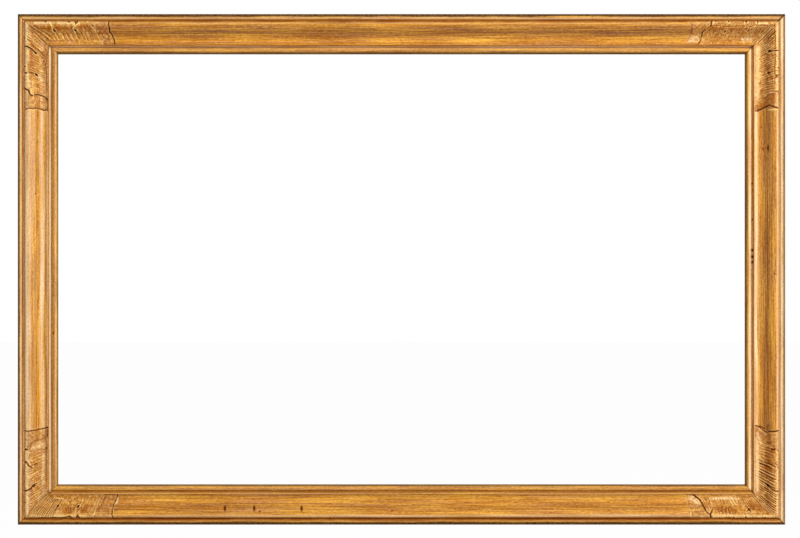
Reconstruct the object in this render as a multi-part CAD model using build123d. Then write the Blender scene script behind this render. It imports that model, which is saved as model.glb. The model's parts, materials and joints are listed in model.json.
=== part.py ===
from build123d import *
import math
import os

# A carved and gilded picture frame, in millimetres.
# +X is to the viewer's right, +Y goes back to the wall, +Z is up. The origin is the centre of the whole box.

# Sight opening, the part of the picture that shows
sight_width = 1148.0
sight_height = 719.0

# Widths of the moulding's members, from the outer edge to the sight edge
outer_bead_width = 9.6
outer_groove_width = 1.4
crest_flank_width = 5.5
ogee_width = 27.0
cove_width = 7.5
ridge_width = 2.6
step_width = 2.4
sight_bead_width = 9.6
sight_lip_width = 1.4

# Heights of the members above the frame's back
side_height = 28.5
outer_bead_height = 33.0
outer_groove_height = 30.5
crest_height = 36.0
valley_height = 25.0
cove_height = 27.2
ridge_height = 28.8
sight_groove_height = 22.0
sight_bead_height = 25.8
sight_bead_foot_height = 21.5
sight_edge_height = 19.0
ogee_inflection_share = 0.5

# Rebate that the picture sits in, cut in the back along the sight edge
rebate_width = 7.5
rebate_depth = 13.0

# Carved leaf at each end of each rail, measured along the rail from the mitred corner
carved_length = 162.0
ground_depth = 1.8
division_depth = 1.7
vein_depth = 0.8
vein_width = 1.9
division_width = 2.6
eye_radius = 1.7
eye_depth = 3.2
midrib_gap = 3.4
lobe_start_shares = (0.22, 0.43, 0.655)
lobe_end_shares = (0.36, 0.57, 0.745)
lobe_vein_counts = (4, 4, 3)
vein_run_share = 0.1
vein_across_shares = (0.25, 0.82)
eye_along_shares = (0.4, 0.625)
eye_across_share = 0.46
notch_along_shares = (0.345, 0.6)
notch_across_share = 0.07
midrib_shares = (0.2, 0.9)
tip_along_shares = (0.765, 0.81, 0.84, 0.83, 0.85, 0.9)
tip_across_shares = (0.0, 0.16, 0.34, 0.56, 0.78, 1.0)
cut_line_along_shares = (0.99, 0.975, 1.0)
cut_line_across_shares = (0.0, 0.4, 1.0)

# Tapered key let into the back across each mitre
key_length = 64.0
key_wide_end = 16.0
key_narrow_end = 12.0
key_depth = 7.0
key_from_corner = 33.0
key_clearance = 0.1

# Nails driven through the mitres from the left and right sides
nail_length = 65.0
nail_radius = 1.2
nail_head_radius = 2.4
nail_head_thickness = 1.0
nail_sink = 0.8
nail_above_back = 12.0
nail_from_edge = (18.0, 40.0)
nail_clearance = 0.05

# Slotted screws
screw_radius = 1.6
screw_tip_length = 3.0
screw_tip_radius = 0.2
screw_head_radius = 3.4
screw_head_height = 2.0
screw_slot_width = 0.8
screw_slot_depth = 0.9
screw_clearance = 0.05

# Turn buttons that hold the picture in its rebate
button_reach = 17.0
button_half_width = 5.5
button_thickness = 1.2
button_gap = 0.2
button_hole_clearance = 0.08
button_tab_height = 2.6
button_screw_length = 15.0
button_from_rebate = 10.0
button_along_width_rails = 300.0
button_along_height_rails = 230.0

# Folded strap hangers and their D rings
strap_width = 14.0
strap_thickness = 1.0
strap_length = 48.0
strap_screw_places = (27.0, 41.0)
strap_hole_clearance = 0.3
hanger_above_centre = 130.0
hanger_from_edge = 33.0
hanger_screw_length = 16.0
ring_wire_radius = 1.25
ring_running_clearance = 0.08
ring_width = 19.0
ring_side = 5.0
ring_corner_radius = 2.2
ring_rest_gap = 0.3

# Felt pads at the bottom of the back, which touch the wall
pad_radius = 7.0
pad_thickness = 5.0
pad_from_corner = 110.0
pad_from_edge = 33.0

# One overrun for every cut that runs past a face
overrun = 5.0

# Places across the moulding, worked out from the widths
outer_bead_end = outer_bead_width
crest_foot = outer_bead_end + outer_groove_width
crest_top = crest_foot + crest_flank_width
valley_place = crest_top + ogee_width
cove_end = valley_place + cove_width
ridge_end = cove_end + ridge_width
sight_bead_start = ridge_end + step_width
sight_bead_end = sight_bead_start + sight_bead_width
rail_width = sight_bead_end + sight_lip_width
rebate_start = rail_width - rebate_width

# Overall sizes, and where the back plane lies so that the box is centred on the origin
outer_width = sight_width + 2 * rail_width
outer_height = sight_height + 2 * rail_width
back_y = (crest_height - pad_thickness) / 2

parts_folder = "parts"


# The moulding

def main_member(drop):
    """Edges of the wide carved member, from the outer groove to the ridge, lowered by drop."""
    start = (crest_foot, outer_groove_height - drop)
    crest = (crest_top, crest_height - drop)
    valley = (valley_place, valley_height - drop)
    end = (cove_end, cove_height - drop)
    fall = [b - a for a, b in zip(crest, valley)]
    inflection = tuple(a + ogee_inflection_share * f for a, f in zip(crest, fall))
    return [
        TangentArc(crest, start, tangent=(-1, 0)),
        TangentArc(crest, inflection, tangent=(1, 0)),
        TangentArc(valley, inflection, tangent=(-1, 0)),
        TangentArc(valley, end, tangent=(1, 0)),
    ]


def moulding_profile():
    """The rail's cross-section: x across from the outer edge, y up from the back."""
    bead_start = (0, side_height)
    bead_top = (outer_bead_width / 2, outer_bead_height)
    bead_end = (outer_bead_end, outer_groove_height)
    groove_end = (crest_foot, outer_groove_height)
    cove_foot = (cove_end, cove_height)
    ridge_top = (cove_end + ridge_width / 2, ridge_height)
    ridge_foot = (ridge_end, cove_height)
    sight_foot = (sight_bead_start, sight_groove_height)
    sight_top = (sight_bead_start + sight_bead_width / 2, sight_bead_height)
    sight_end = (sight_bead_end, sight_bead_foot_height)
    edges = [
        Line((0, 0), bead_start),
        ThreePointArc(bead_start, bead_top, bead_end),
        Line(bead_end, groove_end),
        *main_member(0),
        ThreePointArc(cove_foot, ridge_top, ridge_foot),
        Line(ridge_foot, sight_foot),
        ThreePointArc(sight_foot, sight_top, sight_end),
        Line(sight_end, (rail_width, sight_edge_height)),
        Line((rail_width, sight_edge_height), (rail_width, rebate_depth)),
        Line((rail_width, rebate_depth), (rebate_start, rebate_depth)),
        Line((rebate_start, rebate_depth), (rebate_start, 0)),
        Line((rebate_start, 0), (0, 0)),
    ]
    return make_face(edges)


def space_above(drop):
    """Everything in front of the wide member's surface once it is lowered by drop."""
    edges = main_member(drop)
    low_start = (crest_foot, outer_groove_height - drop)
    low_end = (cove_end, cove_height - drop)
    high = crest_height + overrun
    edges += [
        Line(low_start, (crest_foot, high)),
        Line((crest_foot, high), (cove_end, high)),
        Line((cove_end, high), low_end),
    ]
    return make_face(edges)


def along_rail(face, start, length):
    """Carries a cross-section along a rail whose outer edge lies on the X axis."""
    plane = Plane(origin=(start, 0, 0), x_dir=(0, 0, 1), z_dir=(1, 0, 0))
    return extrude(plane.location * face, amount=length, dir=(1, 0, 0))


def in_plan(face):
    """Carries a shape drawn on the face of the frame through the whole thickness."""
    return extrude(Plane.XZ.location * face, amount=crest_height + overrun, dir=(0, -1, 0))


# The carved leaf, in a corner's own coordinates: x along the rail from the corner, y across from the outer edge

member_width = cove_end - crest_foot


def carved_place(along_share, across_share):
    return (along_share * carved_length, crest_foot + across_share * member_width)


def ground_plan():
    """The recessed ground between the leaf's lobed tip and the plain moulding."""
    tip = [carved_place(a, b) for a, b in zip(tip_along_shares, tip_across_shares)]
    cut = [carved_place(a, b) for a, b in zip(cut_line_along_shares, cut_line_across_shares)]
    lobes = [ThreePointArc(tip[i], tip[i + 1], tip[i + 2]) for i in (0, 2)]
    return make_face(
        [
            *lobes,
            Line(tip[4], tip[5]),
            Line(tip[5], cut[2]),
            ThreePointArc(cut[2], cut[1], cut[0]),
            Line(cut[0], tip[0]),
        ]
    )


def gouge_cut(start, end, width):
    """A gouge cut that is pointed at both ends and widest in the middle."""
    along, across = end[0] - start[0], end[1] - start[1]
    length = math.hypot(along, across)
    side = (-across / length * width / 2, along / length * width / 2)
    middle = ((start[0] + end[0]) / 2, (start[1] + end[1]) / 2)
    near = (middle[0] + side[0], middle[1] + side[1])
    far = (middle[0] - side[0], middle[1] - side[1])
    return make_face(Polyline(start, near, end, far, close=True))


def vein_plans():
    """Slanting veins that fill each lobe, all leaning away from the corner."""
    veins = []
    near, far = vein_across_shares
    for first, last, count in zip(lobe_start_shares, lobe_end_shares, lobe_vein_counts):
        for i in range(count):
            at = first + (last - first) * i / (count - 1)
            veins.append(gouge_cut(carved_place(at, near), carved_place(at + vein_run_share, far), vein_width))
    return veins


def division_plans():
    """The deeper cut that parts one lobe from the next and ends in an eye."""
    return [
        gouge_cut(carved_place(notch, notch_across_share), carved_place(eye, eye_across_share), division_width)
        for notch, eye in zip(notch_along_shares, eye_along_shares)
    ]


def midrib_plan():
    """One of the two cuts beside the midrib, which runs along the mitre."""
    across = [crest_foot + share * member_width for share in midrib_shares]
    start, end = [(place + midrib_gap, place) for place in across]
    return gouge_cut(start, end, vein_width)


def leaf_cutter():
    """Everything that is carved away at one end of a rail, with the corner at x = 0."""
    reach = carved_length + 2 * overrun
    ground = along_rail(space_above(ground_depth), 0, reach) & in_plan(ground_plan())
    deep = along_rail(space_above(division_depth), 0, reach)
    shallow = along_rail(space_above(vein_depth), 0, reach)
    divisions = [deep & in_plan(plan) for plan in division_plans()]
    veins = [shallow & in_plan(plan) for plan in [midrib_plan(), *vein_plans()]]
    eye_bottom = outer_groove_height - eye_depth
    eyes = []
    for share in eye_along_shares:
        along, across = carved_place(share, eye_across_share)
        hole = Plane(origin=(along, -eye_bottom, across), z_dir=(0, -1, 0)).location
        eyes.append(hole * extrude(Circle(eye_radius), amount=crest_height))
    return [ground, *divisions, *veins, *eyes]


def mitred_rail(length):
    """A carved rail along X, with its outer edge on z = 0 and its back on y = 0."""
    blank = along_rail(moulding_profile(), -length / 2, length)
    outline = Polyline(
        (-length / 2, 0),
        (length / 2, 0),
        (length / 2 - rail_width, rail_width),
        (-length / 2 + rail_width, rail_width),
        close=True,
    )
    rail = blank & in_plan(make_face(outline))
    cutters = [Pos(-length / 2, 0, 0) * cutter for cutter in leaf_cutter()]
    cutters += [mirror(cutter, about=Plane.YZ) for cutter in cutters]
    return rail - cutters


# Places on the frame

def rail_place(side):
    """Where a rail's own axes go for the bottom, right, top or left side."""
    turns = {"bottom": 0, "right": -90, "top": 180, "left": 90}
    offsets = {
        "bottom": (0, -outer_height / 2),
        "right": (outer_width / 2, 0),
        "top": (0, outer_height / 2),
        "left": (-outer_width / 2, 0),
    }
    x, z = offsets[side]
    return Location((x, back_y, z), (0, turns[side], 0))


def on_back(x, z, turn=0):
    """A place on the frame's back, with local y up and local z out of the wood."""
    plane = Plane(origin=(x, back_y, z), x_dir=(-1, 0, 0), z_dir=(0, 1, 0))
    return plane.location * Location((0, 0, 0), (0, 0, turn))


corners = {
    "top_left": (-1, 1),
    "top_right": (1, 1),
    "bottom_left": (-1, -1),
    "bottom_right": (1, -1),
}


# Joinery

def key_solid(clearance):
    """A tapered key, lying on z = 0 with its thickness going into the wood."""
    half = key_length / 2 + clearance
    wide = key_wide_end / 2 + clearance
    narrow = key_narrow_end / 2 + clearance
    plan = Polyline((-half, -wide), (half, -narrow), (half, narrow), (-half, wide), close=True)
    return extrude(make_face(plan), amount=key_depth + clearance, dir=(0, 0, -1))


def key_place(corner):
    right, up = corners[corner]
    x = right * (outer_width / 2 - key_from_corner)
    z = up * (outer_height / 2 - key_from_corner)
    return on_back(x, z, turn=45 * right * up)


def nail_places():
    """Each nail's head centre and the way it is driven."""
    places = []
    for right, up in corners.values():
        for from_edge in nail_from_edge:
            head = (right * outer_width / 2, back_y - nail_above_back, up * (outer_height / 2 - from_edge))
            places.append((head, (-right, 0, 0)))
    return places


def nail(head, way, clearance=0.0):
    """A nail, or with a clearance the hole it is driven in."""
    plane = Plane(origin=head, z_dir=way)
    top = 0.0 if clearance else nail_sink
    shank_length = nail_length - top + clearance
    head_length = nail_sink + nail_head_thickness - top + clearance
    shank = extrude(Circle(nail_radius + clearance), amount=shank_length)
    disc = extrude(Circle(nail_head_radius + clearance), amount=head_length)
    return plane.location * Pos(0, 0, top) * (shank + disc)


# Hardware on the back

def slotted_screw(length):
    """A pan-head screw: the head stands on z = 0 and the shank goes down."""
    shank = Pos(0, 0, -length / 2 + screw_tip_length / 2) * Cylinder(screw_radius, length - screw_tip_length)
    tip = Pos(0, 0, -length + screw_tip_length / 2) * Cone(screw_tip_radius, screw_radius, screw_tip_length)
    crown = math.sqrt(screw_head_radius**2 + screw_head_height**2)
    head = Pos(0, 0, screw_head_height / 2) * Cylinder(screw_head_radius, screw_head_height)
    head &= Pos(0, 0, screw_head_height - crown) * Sphere(crown)
    slot = Pos(0, 0, screw_head_height) * Box(
        2 * screw_head_radius, screw_slot_width, 2 * screw_slot_depth
    )
    return shank + tip + head - slot


def screw_hole(length):
    return Pos(0, 0, -length / 2) * Cylinder(screw_radius + screw_clearance, length + 2 * screw_clearance)


def turn_button():
    """A brass turn button: it pivots on the local origin and reaches along +y."""
    far = (0, button_reach)
    plan = Circle(button_half_width) + Pos(*far, 0) * Circle(button_half_width)
    plan += Pos(0, button_reach / 2, 0) * Rectangle(2 * button_half_width, button_reach)
    plate = Pos(0, 0, button_gap) * extrude(plan, amount=button_thickness)
    tab_height = button_thickness + button_tab_height
    tab = Pos(0, button_reach + button_half_width - button_thickness / 2, button_gap + tab_height / 2) * Box(
        button_half_width, button_thickness, tab_height
    )
    trim = Pos(0, button_reach, 0) * Cylinder(button_half_width, 4 * tab_height)
    hole = Cylinder(screw_radius + button_hole_clearance, 4 * tab_height)
    return plate + (tab & trim) - hole


button_head_height = 2 * button_gap + button_thickness
button_across = rebate_start - button_from_rebate

button_places = {}
for side, up in (("top", 1), ("bottom", -1)):
    for hand, right in (("left", -1), ("right", 1)):
        button_places[f"{side}_{hand}"] = (
            right * button_along_width_rails,
            up * (outer_height / 2 - button_across),
            90 * right,
        )
for side, right in (("left", -1), ("right", 1)):
    for level, up in (("upper", 1), ("lower", -1)):
        button_places[f"{side}_{level}"] = (
            right * (outer_width / 2 - button_across),
            up * button_along_height_rails,
            180,
        )

strap_total = 2 * strap_thickness
loop_radius = ring_wire_radius + ring_running_clearance
pivot_off_back = strap_thickness + loop_radius


def hanger_strap():
    """A folded strap hanging down from the ring's pivot at the local origin's height."""
    under = Pos(0, -strap_length / 2, strap_thickness) * Box(strap_width, strap_length, strap_total)
    barrel = Pos(0, 0, pivot_off_back) * Rot(0, 90, 0) * Cylinder(loop_radius + strap_thickness, strap_width)
    bore = Pos(0, 0, pivot_off_back) * Rot(0, 90, 0) * Cylinder(loop_radius, strap_width + overrun)
    strap = under + barrel - bore
    for place in strap_screw_places:
        strap -= Pos(0, -place, 0) * Cylinder(screw_radius + strap_hole_clearance, 4 * strap_total)
    return strap


ring_drop = ring_side + ring_width / 2
ring_rest_rise = strap_total + ring_wire_radius + ring_rest_gap - pivot_off_back
ring_rest_angle = math.degrees(math.asin(ring_rest_rise / ring_drop))


def hanger_ring():
    """A D ring of round wire. Its straight bar runs in the strap's barrel and the bow hangs down."""
    half = ring_width / 2
    inner = half - ring_corner_radius
    corner = ring_corner_radius
    path = Wire(
        [
            Line((-inner, 0), (inner, 0)),
            TangentArc((inner, 0), (half, -corner), tangent=(1, 0)),
            Line((half, -corner), (half, -ring_side)),
            ThreePointArc((half, -ring_side), (0, -ring_drop), (-half, -ring_side)),
            Line((-half, -ring_side), (-half, -corner)),
            TangentArc((-half, -corner), (-inner, 0), tangent=(0, 1)),
        ]
    )
    section = Plane(origin=(-inner, 0, 0), z_dir=(1, 0, 0)).location * Circle(ring_wire_radius)
    ring = sweep(section, path=path)
    return Pos(0, 0, pivot_off_back) * Rot(-ring_rest_angle, 0, 0) * ring


hanger_places = {
    "left": (-(outer_width / 2 - hanger_from_edge), hanger_above_centre),
    "right": (outer_width / 2 - hanger_from_edge, hanger_above_centre),
}


def hanger_screw_places():
    """Each screw stands on the strap's upper layer."""
    return [
        on_back(x, z) * Pos(0, -place, strap_total)
        for x, z in hanger_places.values()
        for place in strap_screw_places
    ]


def button_screw_places():
    return [on_back(x, z) * Pos(0, 0, button_head_height) for x, z, _ in button_places.values()]


def build_rails():
    """Four carved rails with the pockets and holes that their joinery and screws need."""
    cuts = [key_place(corner) * key_solid(key_clearance) for corner in corners]
    cuts += [nail(head, way, nail_clearance) for head, way in nail_places()]
    cuts += [place * screw_hole(button_screw_length) for place in button_screw_places()]
    cuts += [place * screw_hole(hanger_screw_length) for place in hanger_screw_places()]
    blanks = {"top": mitred_rail(outer_width), "left": mitred_rail(outer_height)}
    blanks["bottom"] = blanks["top"]
    blanks["right"] = blanks["left"]
    rails = {}
    for side, blank in blanks.items():
        rail = rail_place(side) * blank
        near = [cut for cut in cuts if boxes_meet(rail, cut)]
        rails[f"{side}_rail"] = rail - near
    return rails


def boxes_meet(one, other):
    a, b = one.bounding_box(), other.bounding_box()
    return (
        a.min.X <= b.max.X
        and b.min.X <= a.max.X
        and a.min.Y <= b.max.Y
        and b.min.Y <= a.max.Y
        and a.min.Z <= b.max.Z
        and b.min.Z <= a.max.Z
    )


def build_nodes():
    nodes = build_rails()
    for corner in corners:
        nodes[f"corner_key_{corner}"] = key_place(corner) * key_solid(0)
    nodes["mitre_nails"] = Compound([nail(head, way) for head, way in nail_places()])
    for name, (x, z, turn) in button_places.items():
        nodes[f"turn_button_{name}"] = on_back(x, z, turn) * turn_button()
    nodes["turn_button_screws"] = Compound(
        [place * slotted_screw(button_screw_length) for place in button_screw_places()]
    )
    for side, (x, z) in hanger_places.items():
        nodes[f"hanger_strap_{side}"] = on_back(x, z) * hanger_strap()
        nodes[f"hanger_ring_{side}"] = on_back(x, z) * hanger_ring()
    nodes["hanger_screws"] = Compound(
        [place * slotted_screw(hanger_screw_length) for place in hanger_screw_places()]
    )
    for side, right in (("left", -1), ("right", 1)):
        x = right * (outer_width / 2 - pad_from_corner)
        z = -outer_height / 2 + pad_from_edge
        nodes[f"wall_pad_{side}"] = on_back(x, z) * extrude(Circle(pad_radius), amount=pad_thickness)
    return nodes


os.makedirs(parts_folder, exist_ok=True)
for node_name, shape in build_nodes().items():
    export_step(shape, os.path.join(parts_folder, node_name + ".step"))
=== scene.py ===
import json
import math
import bmesh
import bpy
import numpy as np
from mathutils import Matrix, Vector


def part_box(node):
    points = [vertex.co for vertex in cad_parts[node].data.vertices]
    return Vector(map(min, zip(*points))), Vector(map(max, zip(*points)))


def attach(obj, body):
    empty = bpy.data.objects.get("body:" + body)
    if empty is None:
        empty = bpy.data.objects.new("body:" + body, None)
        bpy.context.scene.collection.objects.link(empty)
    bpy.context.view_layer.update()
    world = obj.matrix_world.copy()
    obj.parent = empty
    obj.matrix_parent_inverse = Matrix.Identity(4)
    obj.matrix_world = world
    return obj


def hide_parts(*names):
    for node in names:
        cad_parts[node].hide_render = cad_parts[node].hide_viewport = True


# A carved and gilded picture frame with the hardware on its back. Everything is in metres.
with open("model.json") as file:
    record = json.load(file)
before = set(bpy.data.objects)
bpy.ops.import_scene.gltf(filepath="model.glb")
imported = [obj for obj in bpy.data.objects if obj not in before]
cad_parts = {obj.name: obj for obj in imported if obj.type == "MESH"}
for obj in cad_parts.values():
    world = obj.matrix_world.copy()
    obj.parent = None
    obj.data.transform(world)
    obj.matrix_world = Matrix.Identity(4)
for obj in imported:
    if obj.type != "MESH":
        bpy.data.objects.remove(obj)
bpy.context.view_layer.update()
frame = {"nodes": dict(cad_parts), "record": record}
mm = 0.001

railBoxes = {side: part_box(side + "_rail") for side in ("top", "bottom", "left", "right")}
outerWidth = railBoxes["top"][1][0] - railBoxes["top"][0][0]
outerHeight = railBoxes["left"][1][2] - railBoxes["left"][0][2]
backY = railBoxes["top"][1][1]
footZ = railBoxes["bottom"][0][2]


# Helpers for objects and nodes

def addObject(name, data):
    made = bpy.data.objects.new(name, data)
    bpy.context.scene.collection.objects.link(made)
    return made


def settle(piece, slot, *nodes):
    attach(piece, "frame")
    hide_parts(*nodes)


def feed(tree, socket, value):
    if isinstance(value, bpy.types.NodeSocket):
        tree.links.new(value, socket)
    else:
        socket.default_value = value


def addNode(tree, kind, inputs=None, **settings):
    node = tree.nodes.new(kind)
    for name, value in settings.items():
        setattr(node, name, value)
    for key, value in (inputs or {}).items():
        feed(tree, node.inputs[key], value)
    return node


def outOf(tree, kind, inputs=None, **settings):
    return addNode(tree, kind, inputs, **settings).outputs[0]


def combined(tree, operation, *values, clamp=False):
    return outOf(tree, "ShaderNodeMath", dict(enumerate(values)), operation=operation, use_clamp=clamp)


def vectorOf(tree, x=0.0, y=0.0, z=0.0):
    return outOf(tree, "ShaderNodeCombineXYZ", {"X": x, "Y": y, "Z": z})


def newGroup(name, inputs, outputs, kind="ShaderNodeTree"):
    tree = bpy.data.node_groups.new(name, kind)
    for way, sockets in (("INPUT", inputs), ("OUTPUT", outputs)):
        for label, form in sockets.items():
            tree.interface.new_socket(label, in_out=way, socket_type="NodeSocket" + form)
    return tree, addNode(tree, "NodeGroupInput").outputs, addNode(tree, "NodeGroupOutput").inputs


def newMaterial(name):
    material = bpy.data.materials.new(name)
    material.use_nodes = True
    return material, material.node_tree


def paint(tree, looks):
    shader = tree.nodes["Principled BSDF"]
    for name, value in looks.items():
        feed(tree, shader.inputs[name], value)
    return shader.outputs[0]


# Stage: camera, floor, world and lamps

bpy.context.scene.view_settings.view_transform = "Standard"

photo = {  # where the frame's outer edges are in the 800 x 538 picture
    "width": 800,
    "height": 538,
    "left": 17.8,
    "right": 785.2,
    "top": 14.05,
    "bottom": 524.7,
}

studio = {
    "cameraDistance": 12.0,
    "sensor": 36.0,  # millimetres
    "background": 1.0,
    "worldLight": 0.1,
    "lamps": {  # place, size across, size up, power
        "keyLamp": ((4.2, -5.7, 3.1), 2.2, 2.6, 492),
        "frontLamp": ((0.9, -6.3, 2.2), 1.2, 2.4, 172),
    },
    "floorSize": 60.0,
    "floorColor": (0.6, 0.6, 0.59, 1),
    "floorRoughness": 0.9,
    "floorShown": 0.98,
}


def makeCamera():
    pixel = outerWidth / (photo["right"] - photo["left"])  # metres to a pixel, in the plane of the outer edges
    centreX = (photo["left"] + photo["right"]) / 2 - photo["width"] / 2
    centreY = (photo["top"] + photo["bottom"]) / 2 - photo["height"] / 2
    data = bpy.data.cameras.new("camera")
    data.sensor_width = studio["sensor"]
    data.lens = studio["sensor"] * studio["cameraDistance"] / (photo["width"] * pixel)
    camera = addObject("camera", data)
    edgePlane = backY - moulding["sideHeight"] * mm
    camera.location = (-centreX * pixel, edgePlane - studio["cameraDistance"], centreY * pixel)
    camera.rotation_euler = (math.radians(90), 0, 0)
    bpy.context.scene.camera = camera


def seenByCamera(tree):
    # 1 where the camera looks, straight or by way of metal and glass
    path = addNode(tree, "ShaderNodeLightPath").outputs
    seen = combined(tree, "MAXIMUM", path["Is Camera Ray"], path["Is Glossy Ray"])
    return combined(tree, "MAXIMUM", seen, path["Is Transmission Ray"])


def makeWorld():
    world = bpy.data.worlds.new("studio")
    bpy.context.scene.world = world
    world.use_nodes = True
    tree = world.node_tree
    levels = {"To Min": studio["worldLight"], "To Max": studio["background"], "Value": seenByCamera(tree)}
    background = tree.nodes["Background"].inputs
    feed(tree, background["Strength"], outOf(tree, "ShaderNodeMapRange", levels))
    background["Color"].default_value = (1, 1, 1, 1)


def makeLamps():
    for name, (place, across, up, power) in studio["lamps"].items():
        data = bpy.data.lights.new(name, "AREA")
        data.shape = "RECTANGLE"
        data.size, data.size_y = across, up
        data.energy = power
        lamp = addObject(name, data)
        lamp.location = place
        x, y, z = -np.array(lamp.location) / np.linalg.norm(lamp.location)  # towards the frame's middle
        lamp.rotation_euler = (math.acos(-z), 0, math.atan2(-x, y))


def makeFloor():
    half = studio["floorSize"] / 2
    mesh = bpy.data.meshes.new("floor")
    corners = [(-half, -half, footZ), (half, -half, footZ), (half, half, footZ), (-half, half, footZ)]
    mesh.from_pydata(corners, [], [(0, 1, 2, 3)])
    material, tree = newMaterial("paleFloor")
    plain = paint(tree, {"Base Color": studio["floorColor"], "Roughness": studio["floorRoughness"]})
    share = combined(tree, "MULTIPLY", seenByCamera(tree), studio["floorShown"])
    mix = outOf(tree, "ShaderNodeMixShader", {"Fac": share, 1: plain, 2: outOf(tree, "ShaderNodeEmission")})
    feed(tree, tree.nodes["Material Output"].inputs["Surface"], mix)
    mesh.materials.append(material)
    addObject("floor", mesh)


# The moulding's section, in millimetres: widths from the outer edge to the sight edge, heights above its back

moulding = {
    "beadWidth": 9.6,
    "grooveWidth": 1.4,
    "flankWidth": 5.5,
    "ogeeWidth": 27.0,
    "coveWidth": 7.5,
    "ridgeWidth": 2.6,
    "stepWidth": 2.4,
    "sightBeadWidth": 9.6,
    "lipWidth": 1.4,
    "sideHeight": 28.5,
    "beadHeight": 33.0,
    "grooveHeight": 30.5,
    "crestHeight": 36.0,
    "valleyHeight": 25.0,
    "coveHeight": 27.2,
    "ridgeHeight": 28.4,
    "sightGrooveHeight": 22.0,
    "sightBeadHeight": 25.8,
    "sightBeadFoot": 21.5,
    "sightEdgeHeight": 19.0,
    "rebateWidth": 7.5,
    "rebateDepth": 13.0,
    "softening": 0.5,  # worn off the outer back arris
    "sideRows": (5.0, 8.7, 9.7, 10.8, 12.0, 13.2, 14.3, 15.3, 20.0, 26.5),
}


# points are across + 1j * height, and each run leaves out the point that it starts from

def straight(start, end, count):
    return [start + (end - start) * (i + 1) / count for i in range(count)]


def arcRound(centre, start, sweep, count):
    return [centre + (start - centre) * np.exp(1j * sweep * (i + 1) / count) for i in range(count)]


def arcThrough(start, middle, end, count):
    w = (end - start) / (middle - start)
    centre = start + (middle - start) * (w - abs(w) ** 2) / (2j * w.imag)
    return arcRound(centre, start, np.angle((end - centre) / (start - centre)), count)


def arcFrom(start, direction, end, count):  # leaves start along direction
    chord = end - start
    radius = abs(chord) ** 2 / (2 * (chord * np.conj(direction)).imag)
    return arcRound(start + 1j * direction * radius, start, 2 * np.angle(chord / direction), count)


def arcInto(start, direction, end, count):  # arrives at end along direction
    back = arcFrom(end, -direction, start, count)
    return back[-2::-1] + [end]


def sectionPoints():
    # the section, the span across it that is carved, and the rows that are gilded
    m = moulding
    bead, soft = m["beadWidth"], m["softening"]
    crestFoot = bead + m["grooveWidth"]
    crest = crestFoot + m["flankWidth"] + 1j * m["crestHeight"]
    valley = crest.real + m["ogeeWidth"] + 1j * m["valleyHeight"]
    coveEnd = valley.real + m["coveWidth"]
    ridgeEnd = coveEnd + m["ridgeWidth"]
    sightStart = ridgeEnd + m["stepWidth"]
    sightEnd = sightStart + m["sightBeadWidth"]
    edge = sightEnd + m["lipWidth"]
    rebate = edge - m["rebateWidth"]
    path = [soft + 0j]
    path += straight(path[-1], 1j * soft, 2)
    path += [1j * height for height in (*m["sideRows"], m["sideHeight"])]
    frontStart = len(path) - 2
    path += arcThrough(path[-1], bead / 2 + 1j * m["beadHeight"], bead + 1j * m["grooveHeight"], 12)
    path += straight(path[-1], crestFoot + 1j * m["grooveHeight"], 3)
    path += arcInto(path[-1], 1, crest, 9)
    path += arcFrom(path[-1], 1, (crest + valley) / 2, 24)
    path += arcInto(path[-1], 1, valley, 24)
    path += arcFrom(path[-1], 1, coveEnd + 1j * m["coveHeight"], 12)
    middle = coveEnd + m["ridgeWidth"] / 2 + 1j * m["ridgeHeight"]
    path += arcThrough(path[-1], middle, ridgeEnd + 1j * m["coveHeight"], 7)
    path += straight(path[-1], sightStart + 1j * m["sightGrooveHeight"], 4)
    middle = sightStart + m["sightBeadWidth"] / 2 + 1j * m["sightBeadHeight"]
    path += arcThrough(path[-1], middle, sightEnd + 1j * m["sightBeadFoot"], 13)
    path += straight(path[-1], edge + 1j * m["sightEdgeHeight"], 2)
    frontEnd = len(path) + 2  # the gilding stops just round the sight edge
    path += straight(path[-1], edge + 1j * m["rebateDepth"], 3)
    path += straight(path[-1], rebate + 1j * m["rebateDepth"], 1)
    path += straight(path[-1], rebate + 0j, 2)
    path += straight(path[-1], soft + 0j, 4)[:-1]
    return np.array(path), (crestFoot, coveEnd), (frontStart, frontEnd)


# The carved leaf, half of it on each rail's end, in mm: along from the corner, across from the outer edge

def smooth(low, high, value):
    t = np.clip((value - low) / (high - low), 0, 1)
    return t * t * (3 - 2 * t)


def fade(low, high, value):
    return 1 - smooth(low, high, value)


def bell(value):
    return np.exp(-(value**2))


def softNoise(x, y, seed):  # from -1 to 1, one bump to a unit
    xi, yi = np.floor(x), np.floor(y)
    fx, fy = smooth(0, 1, x - xi), smooth(0, 1, y - yi)

    def lattice(a, b):
        h = np.sin(a * 12.9898 + b * 78.233 + seed * 37.719) * 43758.5453
        return (h - np.floor(h)) * 2 - 1

    low = lattice(xi, yi) * (1 - fx) + lattice(xi + 1, yi) * fx
    high = lattice(xi, yi + 1) * (1 - fx) + lattice(xi + 1, yi + 1) * fx
    return low * (1 - fy) + high * fy


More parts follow.
